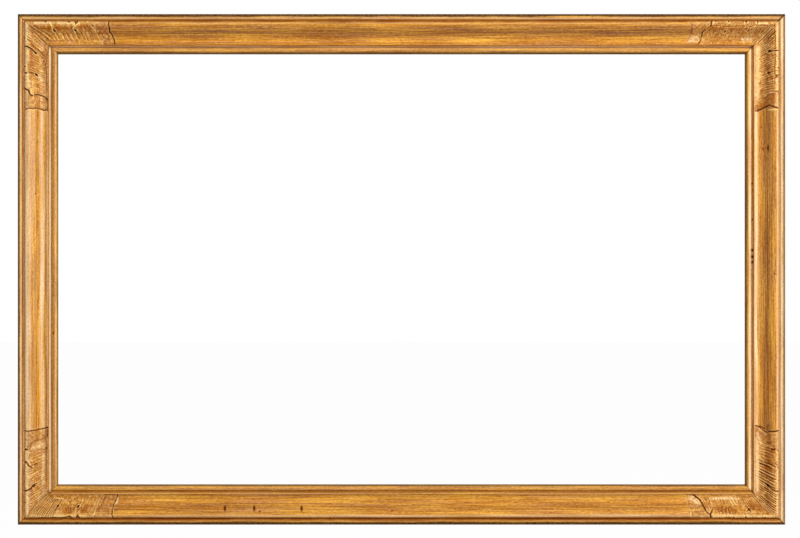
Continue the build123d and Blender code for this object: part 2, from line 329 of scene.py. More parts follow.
leaf = {  # what all halves share, unless they say otherwise below
    "reach": 168,  # where the fine mesh ends
    "tipAcross": (10, 13, 17, 22, 28, 35, 43, 51),
    "cutAcross": (9, 16, 23, 30, 36, 43, 51),
    "leanAtCorner": 46,  # degrees
    "leanAtTip": 73,
    "leanReach": 125,
    "fingerRise": 0.1,  # of its width
    "fingersEnd": 43.5,
    "hatch": 0.45,
    "veinWidth": 0.95,
    "veinDepth": 1.1,
    "edgeAcross": 11.2,
    "edgeDrop": 1.3,
    "groundDrop": 1.4,
    "groundStipple": 0.25,
    "dotPitch": 2.3,
    "dotRadius": 0.85,
    "divisionWidth": 0.85,
    "divisionDepth": 1.4,
    "eyeLength": 2.9,
    "eyeWidth": 1.4,
    "eyeDepth": 3.2,
    "eyeLean": 42,  # degrees
    "lobeLift": 0.6,
    "cutWidth": 1.1,
    "cutDepth": 1.3,
    "cutLip": 0.3,
    "ribGap": 2.6,  # from the mitre to the cut beside the midrib
    "ribDepth": 0.9,
    "mitreOpen": 0.12,
    "bumps": 0.36,
}

# How each half leaf differs, because every one was cut by hand.
# notches: place along and depth
# divisions between lobes: notch along, eye along and across, strength of the cut and of the eye
# fingers of each lobe: width, strength, and where its veins begin
# tipAlong and cutAlong: places at tipAcross and cutAcross
leaves = {
    ("top", "end"): {
        "seed": 1, "notches": ((46, 1.8), (84.8, 2.4), (97.2, 4.6), (118, 1.2)),
        "divisions": ((57, 61.3, 28.4, 0.55, 1.0), (90, 96.5, 27.9, 0.0, 1.0)),
        "fingers": ((9, 0.45, 32), (8.8, 0.8, 30), (7.2, 0.75, 30)),
        "tipAlong": (119, 120, 122, 124.5, 130, 134, 138, 144), "tipBold": 0.35,
        "cutAlong": (155.3, 152.6, 152.4, 154, 158.4, 160.9, 162), "cutWidth": 1.4,
    },
    ("top", "start"): {
        "seed": 2, "notches": ((46.4, 1.6), (65, 2.0), (94.4, 1.6), (116, 1.4), (123.8, 4.0)),
        "divisions": ((52, 62.5, 28.5, 0.15, 0.35), (93.6, 101.5, 30, 0.1, 0.6)),
        "fingers": ((3.3, 0.9, 19), (3.4, 0.35, 22), (3.4, 0.4, 22)),
        "tipAlong": (124, 124, 126, 132, 136.5, 138.5, 140.5, 148), "tipBold": 0.8,
        "cutAlong": (161, 158.5, 157, 157.5, 160, 163, 166), "cutDepth": 0.5, "mitreOpen": 1.7,
        "hatch": 0.6,
    },
    ("bottom", "start"): {
        "seed": 3, "notches": ((40, 1.0), (55, 1.2), (70, 1.4), (86, 3.0), (99, 4.0), (112, 1.2)),
        "divisions": ((58, 67, 31.5, 0.5, 0.6), (97, 101, 31, 0.1, 1.0)),
        "fingers": ((3.7, 1.0, 14), (4.6, 0.4, 30), (4.6, 0.35, 28)),
        "tipAlong": (127, 127.5, 129, 130, 132, 134, 138, 144), "tipBold": 0.25,
        "cutAlong": (160.5, 158.2, 158, 159.6, 161.5, 164.5, 167),
    },
    ("bottom", "end"): {
        "seed": 4, "notches": ((34, 1.6), (66, 2.4), (86, 1.6), (94, 1.6), (110, 1.0), (124, 5.0)),
        "divisions": ((60, 61, 25.5, 0.0, 0.7), (98, 99, 29, 0.0, 0.3)),
        "fingers": ((4.2, 0.45, 24), (5.2, 0.6, 32), (5.5, 0.5, 32)),
        "tipAlong": (124, 123.5, 124.5, 131.5, 135, 138, 143.5, 152), "tipBold": 1.3,
        "cutAlong": (156, 156.3, 157.2, 159.2, 161.5, 164, 166), "mitreOpen": 1.1, "cutDepth": 0.6,
        "hatch": 0.5,
    },
    ("left", "start"): {
        "seed": 5, "notches": ((40, 1.2), (87.6, 1.6), (98.6, 2.6), (110, 1.4)),
        "divisions": ((54, 65, 29.8, 1.3, 1.0), (97.5, 101.5, 31.5, 0.5, 1.0)),
        "fingers": ((4.0, 0.75, 15), (4.3, 0.5, 21), (4.5, 0.4, 24)),
        "tipAlong": (124, 124.6, 127.5, 135.5, 134.6, 134.6, 137.4, 144), "tipBold": 1.3,
        "cutAlong": (161.2, 159, 158, 158, 159.6, 161.5, 160.5), "hatch": 0.6,
    },
    ("right", "end"): {
        "seed": 6,
        "notches": ((46, 1.2), (60.6, 2.0), (75, 1.2), (89.7, 1.8), (103, 4.4), (113, 1.4), (129, 4.0)),
        "divisions": ((60.8, 62.7, 26.9, 0.9, 1.0), (100, 98.8, 28, 0.1, 0.6)),
        "fingers": ((3.7, 1.0, 17), (3.9, 0.8, 17), (4.0, 0.8, 17)),
        "tipAlong": (129, 129, 130, 133, 136, 139, 146, 154), "tipBold": 0.5,
        "cutAlong": (158, 156, 153.5, 152.6, 157, 160.3, 163.5), "fingersEnd": 40.5, "eyeLean": 80,
        "eyeLength": 3.2, "eyeWidth": 1.9, "cutDepth": 1.0, "mitreOpen": 1.3, "hatch": 0.75,
    },
    ("left", "end"): {
        "seed": 7, "notches": ((36.6, 1.8), (72, 1.0), (88, 1.4), (105, 3.0), (125.5, 4.0)),
        "divisions": ((56, 66, 27, 1.3, 0.7), (99, 101, 30, 0.0, 0.45)),
        "fingers": ((4.3, 0.8, 20), (4.6, 0.6, 18), (5.0, 0.4, 23)),
        "tipAlong": (125.5, 125.8, 127, 134, 139, 141.2, 143.5, 150), "tipBold": 1.1,
        "cutAlong": (156.8, 157, 157.6, 158.8, 160.3, 162, 164), "cutWidth": 1.3, "hatch": 0.5,
    },
    ("right", "start"): {
        "seed": 8,
        "notches": ((32, 1.0), (42, 1.4), (56, 2.0), (74, 1.2), (95, 2.4), (110, 1.2), (122, 1.6)),
        "divisions": ((55.5, 66, 29.5, 1.0, 1.0), (97, 103, 33, 0.2, 0.2)),
        "fingers": ((4.2, 1.0, 15), (5.4, 1.25, 17), (6, 0.5, 22)),
        "tipAlong": (122, 123, 126, 130, 133, 135, 139, 146), "tipBold": 0.3,
        "cutAlong": (157.4, 156.4, 155.6, 155.2, 158, 163.5, 166), "eyeLength": 4.0, "eyeWidth": 1.9,
        "hatch": 0.6,
    },
}

# Black, brown and faint strokes are cuts darkened with dirt and painted shade, light strokes are painted
# highlights, cream strokes are pale rubbed gilding with painted highlight, and the smudges are painted shade.
strokeKinds = {  # how deep a stroke is cut, and how strongly it marks what it crosses
    "black": (0.9, {"stain": 0.85, "line": 1.0}),
    "brown": (0.8, {"line": 0.95}),
    "faint": (0.35, {"line": 0.5}),
    "light": (-0.4, {"bright": 0.9}),
    "smoke": (0.0, {"brown": 0.85}),
    "cream": (-0.1, {"pale": 1.0, "bright": 0.4}),
}

# Single cuts, rubs, smears, painted highlights and painted shade on each half, in the order they are made: the
# kind, then for each one half its width and its path, along and across in turn
strokes = {
    ("top", "end"): (
        ("brown", (1.3, 19, 20, 43, 36, 51, 44), (0.9, 26, 19.5, 42, 29, 57, 40.5)),
        ("light", (0.9, 22, 18, 50, 38.5)),
        ("black", (1.3, 45, 12.4, 47, 12.8)),
        ("light", (1.2, 53, 13, 56, 17, 59, 22)),
        ("black", (0.7, 83, 12.5, 85, 13.8, 87.5, 12), (1.0, 94, 11, 97, 15.6, 101, 11.5)),
        ("light", (1.4, 90, 15, 96, 20.5, 102, 15)),
        ("brown", (1.2, 98.5, 31, 103.5, 35, 106.8, 41), (0.8, 117.5, 25, 120.5, 20.5, 125, 19, 129, 25)),
        ("faint", (0.9, 120, 11, 121, 18)),
        ("light", (1.4, 127, 22, 130, 25), (1.3, 133, 28.7, 134.5, 28.7)),
        ("black", (0.9, 135.5, 31.5, 135.5, 32.5)),
        ("brown", (1.0, 122.3, 30, 127.5, 42), (0.8, 139, 34, 143, 38, 141, 42, 145, 46),
        (0.8, 148, 33, 152, 37, 150, 42, 154, 46), (0.9, 142, 47.6, 148.5, 51.2, 162, 50)),
        ("black", (1.0, 152.8, 22, 154, 30, 158.4, 36)),
        ("smoke", (4.0, 28, 22, 57, 24), (3.6, 62, 22.5, 94, 24.5), (3.4, 104, 22, 150, 25)),
        ("cream", (2.4, 30, 14.5, 57, 15), (2.2, 68, 15, 92, 15.5)),
    ),
    ("top", "start"): (
        ("black", (1.0, 46.4, 12, 46.4, 15), (1.4, 64.5, 12.3, 66, 12.8), (1.1, 94.2, 12.3, 95, 12.6)),
        ("brown", (1.2, 114, 12, 118, 12)),
        ("black", (1.4, 123.2, 11, 123.8, 14, 124.4, 20)),
        ("brown", (0.8, 30, 19.5, 52, 18.5, 56, 21, 70, 20, 86, 20.5, 100, 21, 112, 19.5, 122, 20),
        (1.2, 125, 20, 130, 24, 135, 27)),
        ("black", (1.1, 135, 26.5, 138.6, 31.5, 139.2, 38), (0.9, 140, 42.5, 143, 47, 148.5, 52)),
        ("smoke", (5.5, 18, 21, 48, 28), (4.5, 55, 25, 125, 25), (4.5, 156, 20, 158, 31)),
        ("brown", (1.6, 156.5, 24, 158, 31)),
        ("cream", (1.6, 30, 16, 45, 16)),
        ("smoke", (2.4, 52, 14, 62, 13, 78, 15, 90, 13.5), (2.2, 98, 15, 121, 14)),
        ("cream", (4.5, 147, 40, 157, 43), (2.5, 56, 41, 72, 42)),
    ),
    ("bottom", "start"): (
        ("black", (0.9, 30, 11.2, 44, 12, 52, 11.3, 60, 12.2, 70, 11.4, 79, 12),
        (1.1, 79, 11.4, 86, 14.8, 90.5, 12), (1.2, 98, 12.5, 100, 16.3, 103, 11.4)),
        ("light", (1.6, 89, 15, 96, 13.5), (1.6, 104, 15.5, 111, 14)),
        ("brown", (1.3, 61, 22.5, 67.5, 32)),
        ("black", (1.3, 66, 30, 67.5, 32.5)),
        ("brown", (0.9, 84, 19, 89, 22, 88, 28)),
        ("smoke", (4.0, 78, 22, 90, 26), (4.5, 98, 26, 104, 33), (4.0, 108, 24, 116, 31)),
        ("brown", (0.9, 120, 25, 125, 37)),
        ("faint", (0.8, 80, 34, 90, 43), (0.8, 90, 34, 80, 43)),
        ("light", (1.5, 126, 16, 130, 20.5), (1.0, 60, 44, 76, 43)),
        ("brown", (1.2, 134, 25, 141, 36, 145, 46)),
        ("cream", (1.8, 165, 37, 167, 46)),
        ("smoke", (3.2, 163, 24, 170, 25)),
        ("cream", (2.4, 60, 15, 76, 15)),
    ),
    ("bottom", "end"): (
        ("black", (1.4, 33, 10.6, 35.5, 11.2), (1.4, 65.5, 11, 66.5, 12.5)),
        ("brown", (1.4, 86, 11, 99, 11.8)),
        ("black", (1.2, 123, 9.5, 125.6, 14, 125, 18, 122.3, 25)),
        ("brown", (1.0, 125.5, 17, 133, 22.5), (1.3, 58, 22, 64, 29), (1.3, 64, 23, 58.5, 28),
        (1.2, 92, 18, 95, 24, 93.6, 31), (1.2, 99, 18, 101, 24, 99, 31), (1.0, 104, 18, 107, 25, 105.5, 31),
        (0.9, 110, 18, 113, 27)),
        ("black", (1.5, 133, 24.5, 137, 32.5, 142, 41, 154.6, 50.4)),
        ("brown", (0.9, 127.7, 34, 136, 45)),
        ("light", (0.9, 81, 33, 93, 46), (0.9, 87, 33, 98, 45), (1.1, 157.5, 12, 158.5, 21)),
        ("smoke", (3.5, 60, 25.5, 62, 26), (5.0, 84, 23, 116, 27), (5.0, 20, 23, 60, 29)),
        ("cream", (1.8, 20, 13.6, 46, 13.8), (2.0, 58, 14, 84, 14), (2.6, 90, 15, 121, 15),
        (4.5, 146, 37, 158, 45), (2.6, 80, 43, 122, 44)),
    ),
    ("left", "start"): (
        ("black", (0.7, 23.5, 17, 33, 27)),
        ("brown", (1.3, 21, 19, 39, 37, 49, 48), (1.0, 28.5, 20, 52, 44.5), (0.9, 42, 16, 53, 27, 66, 41),
        (0.8, 50, 22, 69, 43)),
        ("light", (1.0, 26, 19, 48, 42), (1.0, 35, 17, 60, 43)),
        ("black", (1.2, 54.3, 10, 54, 15.7, 56.5, 20.7, 62, 27, 66.5, 31)),
        ("light", (1.3, 57.5, 13, 59, 19)),
        ("black", (1.2, 87.2, 11.6, 88.2, 12), (1.2, 98, 11.2, 99.2, 15.2),
        (0.9, 109.6, 10.6, 110.4, 11.2)),
        ("brown", (1.0, 97.5, 20, 99, 29, 104.5, 33.5)),
        ("black", (1.4, 124, 10.8, 127.5, 18.2, 134.6, 20.7, 136, 24.4),
        (1.2, 134.4, 28, 134.9, 36.8, 137.4, 43, 143.6, 51)),
        ("light", (1.8, 127, 23, 133, 23)),
        ("brown", (0.9, 46, 31, 47, 33), (0.9, 78.5, 42, 80, 44),
        (0.9, 62, 48.5, 84, 46.5, 108, 47.5, 132, 47)),
        ("cream", (3.4, 25, 14.5, 51, 14.5), (2.6, 58, 16.5, 77, 18), (2.6, 82, 14, 97, 14.5),
        (3.4, 100, 17, 121, 19)),
        ("smoke", (4.5, 57, 23, 97, 24), (3.4, 64, 43, 96, 44)),
        ("cream", (3.2, 103, 35, 112, 40)),
    ),
    ("right", "end"): (
        ("black", (1.0, 30, 17.6, 41, 29)),
        ("brown", (0.9, 25, 22, 45, 42), (0.9, 36, 17, 48, 29)),
        ("light", (1.1, 59.5, 12, 59.8, 20)),
        ("black", (1.0, 60.8, 13.2, 61.9, 22, 62.9, 27), (1.2, 89, 10.8, 90.5, 11),
        (1.3, 102, 14.5, 102, 16.5), (1.3, 105.6, 14, 105.6, 16.5)),
        ("brown", (0.9, 129, 11, 129, 18), (1.5, 97, 28.5, 101, 27.5),
        (0.9, 25, 18, 40, 16.8, 58, 18, 75, 17, 90, 18.5, 100, 17.5, 118, 18)),
        ("black", (1.5, 157, 13, 154.4, 21, 152.4, 27, 158, 39, 162, 47)),
        ("light", (1.5, 159.5, 14, 160, 28)),
        ("smoke", (6.0, 22, 21, 56, 27), (8.0, 60, 26, 130, 27), (4.0, 132, 20, 156, 24),
        (6.0, 138, 28, 150, 33, 156, 42)),
        ("brown", (1.0, 134, 26, 139, 33, 142, 41)),
        ("cream", (1.4, 20, 12.6, 57, 12.6)),
        ("smoke", (1.6, 20, 16, 57, 16)),
        ("cream", (1.4, 64, 12.6, 88, 12.6)),
        ("smoke", (1.6, 66, 16, 90, 16)),
        ("cream", (2.0, 109, 13, 127, 13), (4.0, 55, 45.5, 140, 46.5), (1.6, 131, 24, 133, 26)),
    ),
    ("left", "end"): (
        ("black", (1.0, 35.6, 10.4, 37.6, 12.4), (1.4, 56, 10, 57.4, 17, 61, 22.5, 64, 25),
        (0.9, 68, 31, 66, 29.5, 62.5, 26.5, 65, 24.5, 69, 29)),
        ("light", (1.0, 64.5, 26.6, 67, 28.6)),
        ("black", (1.4, 105, 10, 104, 15.6, 98, 18.4, 96.5, 22.7)),
        ("light", (1.6, 99, 21, 103, 19, 107, 17.5)),
        ("black", (1.4, 125.4, 10, 125.6, 16.5)),
        ("brown", (1.3, 126, 20, 135, 22.7, 139.7, 30, 142, 39.7, 146, 49.6, 166, 51),
        (0.9, 122, 21, 126, 37, 125, 47)),
        ("black", (1.3, 127, 46.6, 129, 47.4)),
        ("brown", (0.9, 99, 28, 103, 29, 103, 33, 99, 32), (0.9, 70, 47, 95, 46.5, 118, 47, 134, 48)),
        ("light", (1.0, 79, 17, 88, 32)),
        ("brown", (1.3, 20, 18.6, 34, 30, 49.5, 46)),
        ("cream", (4.0, 19, 16, 52, 15.8), (4.0, 62, 15.8, 82, 15.8), (3.4, 88, 14.5, 98, 15),
        (3.4, 109, 15, 122, 16), (5.0, 128, 28, 134, 40), (3.2, 45, 37, 54, 44), (3.0, 66, 41, 116, 42.5),
        (2.2, 160.5, 17, 167, 17.5)),
    ),
    ("right", "start"): (
        ("smoke", (7.0, 22, 26, 118, 27)),
        ("black", (1.1, 55, 12, 57, 18, 60, 23.5, 69.5, 32.6)),
        ("brown", (1.5, 75, 20, 88, 42.5), (1.3, 81.5, 18, 92, 41)),
        ("black", (1.1, 97, 27, 103, 42)),
        ("brown", (1.5, 89, 17, 102, 42.5), (1.3, 96, 17, 104, 30)),
        ("light", (1.6, 90, 11.5, 94, 10.5)),
        ("brown", (1.0, 99, 13, 103, 17.5, 105, 14)),
        ("black", (1.8, 125.5, 17.5, 126, 23)),
        ("smoke", (4.5, 122, 21, 130, 24)),
        ("brown", (1.4, 136.5, 26, 137.5, 31)),
        ("black", (1.4, 157.4, 10, 156, 18.4, 155, 28)),
        ("brown", (2.0, 157, 30, 167, 30)),
        ("black", (1.1, 160, 34, 164.5, 42.5)),
        ("smoke", (6.0, 20, 22, 56, 28), (4.5, 74, 28, 104, 33), (3.4, 108, 24, 150, 27)),
        ("cream", (1.5, 20, 13, 54, 13)),
        ("smoke", (1.6, 22, 16.6, 54, 16.6)),
        ("cream", (1.6, 60, 13, 88, 13), (2.6, 136, 41, 147, 45), (3.6, 55, 46, 150, 46.5)),
    ),
}


def fingerPlace(along, across):
    # the place on the outer edge where a point's finger starts: fingers lean more near the corner
    start = along
    drop = np.maximum(across - 12.5, 0)
    turn = leaf["leanAtTip"] - leaf["leanAtCorner"]
    for _ in range(6):
        lean = np.radians(leaf["leanAtCorner"] + turn * np.clip(start / leaf["leanReach"], 0, 1))
        start = along - drop * drop / (drop + 5) / np.tan(lean)
    return start, lean


def distanceToPath(along, across, points):
    nearest = np.full(along.shape, 1e9)
    for (ax, ay), (bx, by) in zip(points, points[1:]):
        dx, dy = bx - ax, by - ay
        t = np.clip(((along - ax) * dx + (across - ay) * dy) / (dx * dx + dy * dy), 0, 1)
        nearest = np.minimum(nearest, np.hypot(along - ax - t * dx, across - ay - t * dy))
    return nearest


def stipple(along, across, seed):
    # punched dots on a loose grid
    pitch, radius = leaf["dotPitch"], leaf["dotRadius"]
    column, row = np.floor(along / pitch), np.floor(across / pitch)
    dots = np.zeros(along.shape)
    for c, r in [(column + dc, row + dr) for dc in (-1, 0, 1) for dr in (-1, 0, 1)]:
        x = (c + 0.5 + 0.3 * softNoise(c * 1.7, r * 2.3, seed)) * pitch
        y = (r + 0.5 + 0.3 * softNoise(c * 2.1, r * 1.3, seed + 9)) * pitch
        dots = np.maximum(dots, fade(0.2 * radius, radius, np.hypot(along - x, across - y)))
    return dots


def carve(along, across, shape, span):
    # how far the carved surface stands in front of the plain moulding, and masks for what shows on it
    seed = shape["seed"]
    top, bottom = span[0], span[1] - 0.3
    # the masks: dark cut marks (dirt and painted shade), painted highlight, painted shade, and pale rubbed
    # gilding with painted highlight
    masks = {name: np.zeros(along.shape) for name in ("stain", "line", "bright", "brown", "pale")}

    def noise(long, wide, extra):  # bumps of that length and width
        return softNoise(along / long, across / wide, seed + extra)

    def edgeNoise(place, long, extra):
        return softNoise(place / long, 0 * place, seed + extra)

    def lay(**laid):
        for name, mark in laid.items():
            masks[name] = np.maximum(masks[name], mark)

    wobble = noise(7, 9, 0) * 0.7 + noise(2.4, 3, 3) * 0.22
    start, lean = fingerPlace(along + wobble, across)
    relief = shape["bumps"] * noise(5.5, 4.2, 21)
    relief += 0.4 * shape["bumps"] * noise(2.1, 2.3, 22)
    patchy = 0.75 + 0.45 * noise(3.1, 3.7, 31)

    # fingers and the veins between them, lobe by lobe
    eyes = [fingerPlace(eyeAlong, eyeAcross)[0] for _, eyeAlong, eyeAcross, *_ in shape["divisions"]]
    ends = [13.0, *eyes, shape["tipAlong"][0] + 2]
    low = fade(shape["fingersEnd"] - 2, shape["fingersEnd"] + 3, across + 2 * edgeNoise(start, 5, 5))
    for first, last, (fingerWidth, bold, veinTop) in zip(ends, ends[1:], shape["fingers"]):
        count = max(int(round((last - first) / fingerWidth)), 2)
        width = (last - first) / count
        finger = (start - first) / width
        within = smooth(-0.02, 0.02, finger) * fade(count - 0.02, count + 0.02, finger)
        part = finger - np.floor(finger)
        swell = (1 - np.abs(2 * part - 1) ** 2.6) * (0.65 + 0.7 * part)
        body = smooth(veinTop - 4, veinTop + 4, across) * low
        relief += shape["fingerRise"] * fingerWidth * bold * within * swell * body
        for k in range(count + 1):
            offset = softNoise(k * 1.37, first, seed + 1)
            other = softNoise(k * 2.11, last, seed + 2)
            away = (start - first - (k + 0.22 * offset * (0 < k < count)) * width) * np.sin(lean)
            begin = veinTop + 3.5 * other
            reach = smooth(begin - 1.5, begin + 3, across) * low
            vein = bell(away / shape["veinWidth"]) * reach
            relief -= shape["veinDepth"] * (1 + 0.4 * offset) * bold * vein
            # each vein darkened: painted shade in the cut, with dirt
            lay(line=vein * patchy * (0.85 + 0.4 * offset) * bold)
            # a painted highlight along one side of each vein
            beside = bell((away + 1.6) / 0.7) * reach * bold
            lay(bright=min(0.6, 0.09 * fingerWidth) * beside * patchy * (0.75 + 0.5 * other))

    # short nicks between the fingers, left by the gouge, each darkened with a painted highlight beside it
    nicks = softNoise(start / 1.5, across / 5.5, seed + 41) + 0.5 * noise(6, 6, 42)
    hatched = shape["hatch"] * smooth(17, 21, across) * fade(42, 46, across)
    hatch = smooth(0.2, 0.75, nicks) * hatched
    relief -= 0.2 * hatch
    lay(line=hatch, bright=0.8 * smooth(0.3, 0.85, -nicks) * hatched)

    # each lobe lies over the next, and a cut with an eye parts them
    turn = math.radians(shape["eyeLean"])
    for (notch, eyeAlong, eyeAcross, lineBold, bold), eyeStart in zip(shape["divisions"], eyes):
        upper = fade(eyeAcross - 2, eyeAcross + 9, across)
        behind = np.exp(-np.maximum(eyeStart - start, 0) / 5) * (start < eyeStart)
        ahead = np.exp(-np.maximum(start - eyeStart, 0) / 4) * (start >= eyeStart)
        relief += shape["lobeLift"] * upper * bold * (behind - 0.6 * ahead)
        bend = (notch + 0.2 * (eyeAlong - notch), 16 + 0.1 * eyeAcross)
        knee = (notch + 0.55 * (eyeAlong - notch), 0.65 * eyeAcross + 5)
        path = [(notch - 0.4, top - 0.5), bend, knee, (eyeAlong, eyeAcross)]
        away = distanceToPath(along + 0.6 * wobble, across, path)
        parting = lineBold * bell(away / shape["divisionWidth"])
        relief -= shape["divisionDepth"] * parting
        dx, dy = along - eyeAlong + 0.6, across - eyeAcross + 0.8
        a = (dx * math.cos(turn) + dy * math.sin(turn)) / shape["eyeLength"]
        b = (dy * math.cos(turn) - dx * math.sin(turn)) / (shape["eyeWidth"] * (1 + 0.25 * a))
        eye = bold * bell(a * a + b * b)
        relief -= shape["eyeDepth"] * eye
        lid = bold * np.exp(-((np.sqrt(a * a + b * b) - 1.7) ** 2) * 6)
        relief += 0.4 * lid
        # partings and eyes darkened: painted shade in the cuts, with dirt
        lay(line=np.maximum(parting, eye), stain=np.maximum(0.4 * parting, 1.2 * eye))
        # a painted highlight on the lid round each eye
        lay(bright=0.9 * lid * patchy)

    # outer edge, with the notches that part one tip from the next
    edge = shape["edgeAcross"] + 0.35 * edgeNoise(along, 4, 7)
    rim = np.zeros(along.shape)
    for place, depth in shape["notches"]:
        far = np.abs(along - place - 0.25 * (across - 12))
        edge = np.maximum(edge, shape["edgeAcross"] + depth * fade(0.2, 0.6 + 0.75 * depth, far))
        rim += np.exp(-((far - 1.2 - 0.6 * depth) ** 2) / 1.6) * fade(12 + depth, 15 + 1.4 * depth, across)
        nick = bell(far / 1.1) * fade(10.6 + depth, 12 + depth, across)
        # each notch darkened: painted shade in the cut, with dirt
        lay(line=nick, stain=0.7 * nick**2)
    relief += 0.45 * rim
    # painted highlight on the raised rims round the notches
    lay(bright=0.9 * np.minimum(rim, 1) * patchy)
    onLeaf = smooth(edge - 0.5, edge + 0.6, across)
    relief = relief * onLeaf - shape["edgeDrop"] * (1 - onLeaf)

    # cuts beside the midrib, darkened, each with a painted highlight beside it
    away = (along - across) / math.sqrt(2) + 0.3 * wobble
    ribFade = smooth(15, 24, across) * fade(45, 51, across)
    for gap, share in ((shape["ribGap"], 1.0), (2.05 * shape["ribGap"], 0.8)):
        rib = share * bell((away - gap) / shape["veinWidth"]) * ribFade
        relief -= shape["ribDepth"] * rib
        lay(line=rib, bright=0.9 * bell((away - gap + 1.5) / 0.8) * ribFade * patchy)

    # the leaf's tip, the sunk ground beyond it, and the plain moulding past the cut
    ripple = edgeNoise(across, 3.4, 11) + 0.4 * edgeNoise(across, 1.5, 13)
    tip = np.interp(across, shape["tipAcross"], shape["tipAlong"]) + ripple
    cut = np.interp(across, shape["cutAcross"], shape["cutAlong"]) + edgeNoise(across, 4.3, 12)
    onTip = fade(tip - 0.5, tip + 0.7, along)
    relief += 0.7 * np.exp(-np.maximum(tip - along, 0) / 2.2) * onTip
    plain = smooth(cut - 0.4, cut + 0.4, along)
    ground = (1 - onTip) * (1 - plain)
    foot = np.exp(-np.maximum(along - tip, 0) / 2.0)
    sunk = -shape["groundDrop"] * (0.85 + 0.5 * foot) - shape["groundStipple"] * stipple(along, across, seed)
    lip = shape["cutLip"] * np.exp(-np.maximum(along - cut, 0) / 1.8)
    cutBold = shape["cutDepth"] / leaf["cutDepth"]
    groove = bell((along - cut + 0.5) / shape["cutWidth"]) * cutBold
    total = onTip * relief + ground * sunk + plain * lip - shape["cutDepth"] * groove
    # painted shadow that the tip casts on the sunk ground
    shade = shape["tipBold"] * foot**2 * (1 - onTip)
    # painted highlight on the tip's rolled edge and on the moulding just past the cut
    curlHighlight = shape["tipBold"] * bell(np.maximum(tip - along, 0) - 1.0) * onTip
    curlHighlight += 0.6 * cutBold * bell(along - cut - 1.8) * plain
    for name in ("stain", "line", "bright"):
        masks[name] = masks[name] * onTip
    # the cut and the tip's shadow are darkened: painted shade
    lay(stain=np.maximum(0.55 * groove, 0.45 * shade), line=np.maximum(cutBold * groove, shade))
    lay(bright=0.8 * curlHighlight * patchy)
    masks.update({"ground": ground, "leafy": 1 - plain})

    # single strokes, laid over all this
    for kind, *rows in strokes[shape["half"]]:
        depth, effects = strokeKinds[kind]
        for half, *places in rows:
            soft = 1.0 if half > 1.5 else 0.5
            path = list(zip(places[::2], places[1::2]))
            touch = bell(distanceToPath(along + soft * wobble, across + 0.5 * soft * wobble, path) / half)
            total = total - depth * touch
            lay(**{name: strength * touch * (0.8 + 0.25 * patchy) for name, strength in effects.items()})
            if kind in ("black", "brown"):
                masks["bright"] = masks["bright"] * (1 - touch)
    inside = smooth(top - 0.2, top + 0.5, across) * fade(bottom - 0.8, bottom + 0.2, across)
    return total * inside, {name: np.clip(value, 0, 1) * inside for name, value in masks.items()}


# A rail's mesh: the section carried from mitre to mitre, with fine columns where it is carved

railPlan = {
    "top": {"out": (0, 1), "along": (-1, 0), "length": outerWidth, "seed": 11},
    "bottom": {"out": (0, -1), "along": (1, 0), "length": outerWidth, "seed": 12},
    "left": {"out": (-1, 0), "along": (0, -1), "length": outerHeight, "seed": 13},
    "right": {"out": (1, 0), "along": (0, 1), "length": outerHeight, "seed": 14},
}

nails = {  # millimetres
    "fromEdge": (18.0, 40.0),
    "aboveBack": 12.0,
    "sunk": 0.9,
    "holeRadius": 2.5,
    "headDepth": 0.55,
    "sizes": {"Head Radius": 2.35, "Head Thickness": 1.0, "Shank Radius": 1.2, "Shank Length": 60.0},
}

railMesh = {"fineStep": 0.6, "coarseStep": 8.0, "waver": 0.16, "mitreWorn": 0.35}

marks = {  # dents and nail marks: along from the rail's start, across, half length, half width, depth
    "bottom": (
        (346, 27.5, 2.6, 6.4, 1.2), (395, 27.5, 2.7, 5.8, 1.3), (404, 22, 2.2, 2.2, 0.7),
        (474, 27, 2.5, 6.4, 1.3), (625, 24, 1.5, 1.5, 0.6),
    ),
    "right": (
        (664, 40, 2.6, 1.2, 0.8), (628, 38, 2.6, 1.2, 0.9), (629, 29, 6, 2.0, 0.7),
        (458.6, 54.6, 3.2, 2.7, 1.2), (447.6, 54.6, 3.4, 2.8, 1.2), (438.6, 54.6, 2.9, 2.5, 1.2),
        (510, 55, 1.8, 1.6, 0.8), (570, 55, 1.8, 1.6, 0.8), (419, 18.5, 1.8, 1.6, 0.8),
    ),
    "top": ((241, 65.5, 1.4, 1.5, 1.2), (700, 3, 2.0, 1.5, 0.6)),
    "left": ((533, 59, 2.4, 1.7, 0.8), (300, 30, 1.8, 1.2, 0.6)),
}

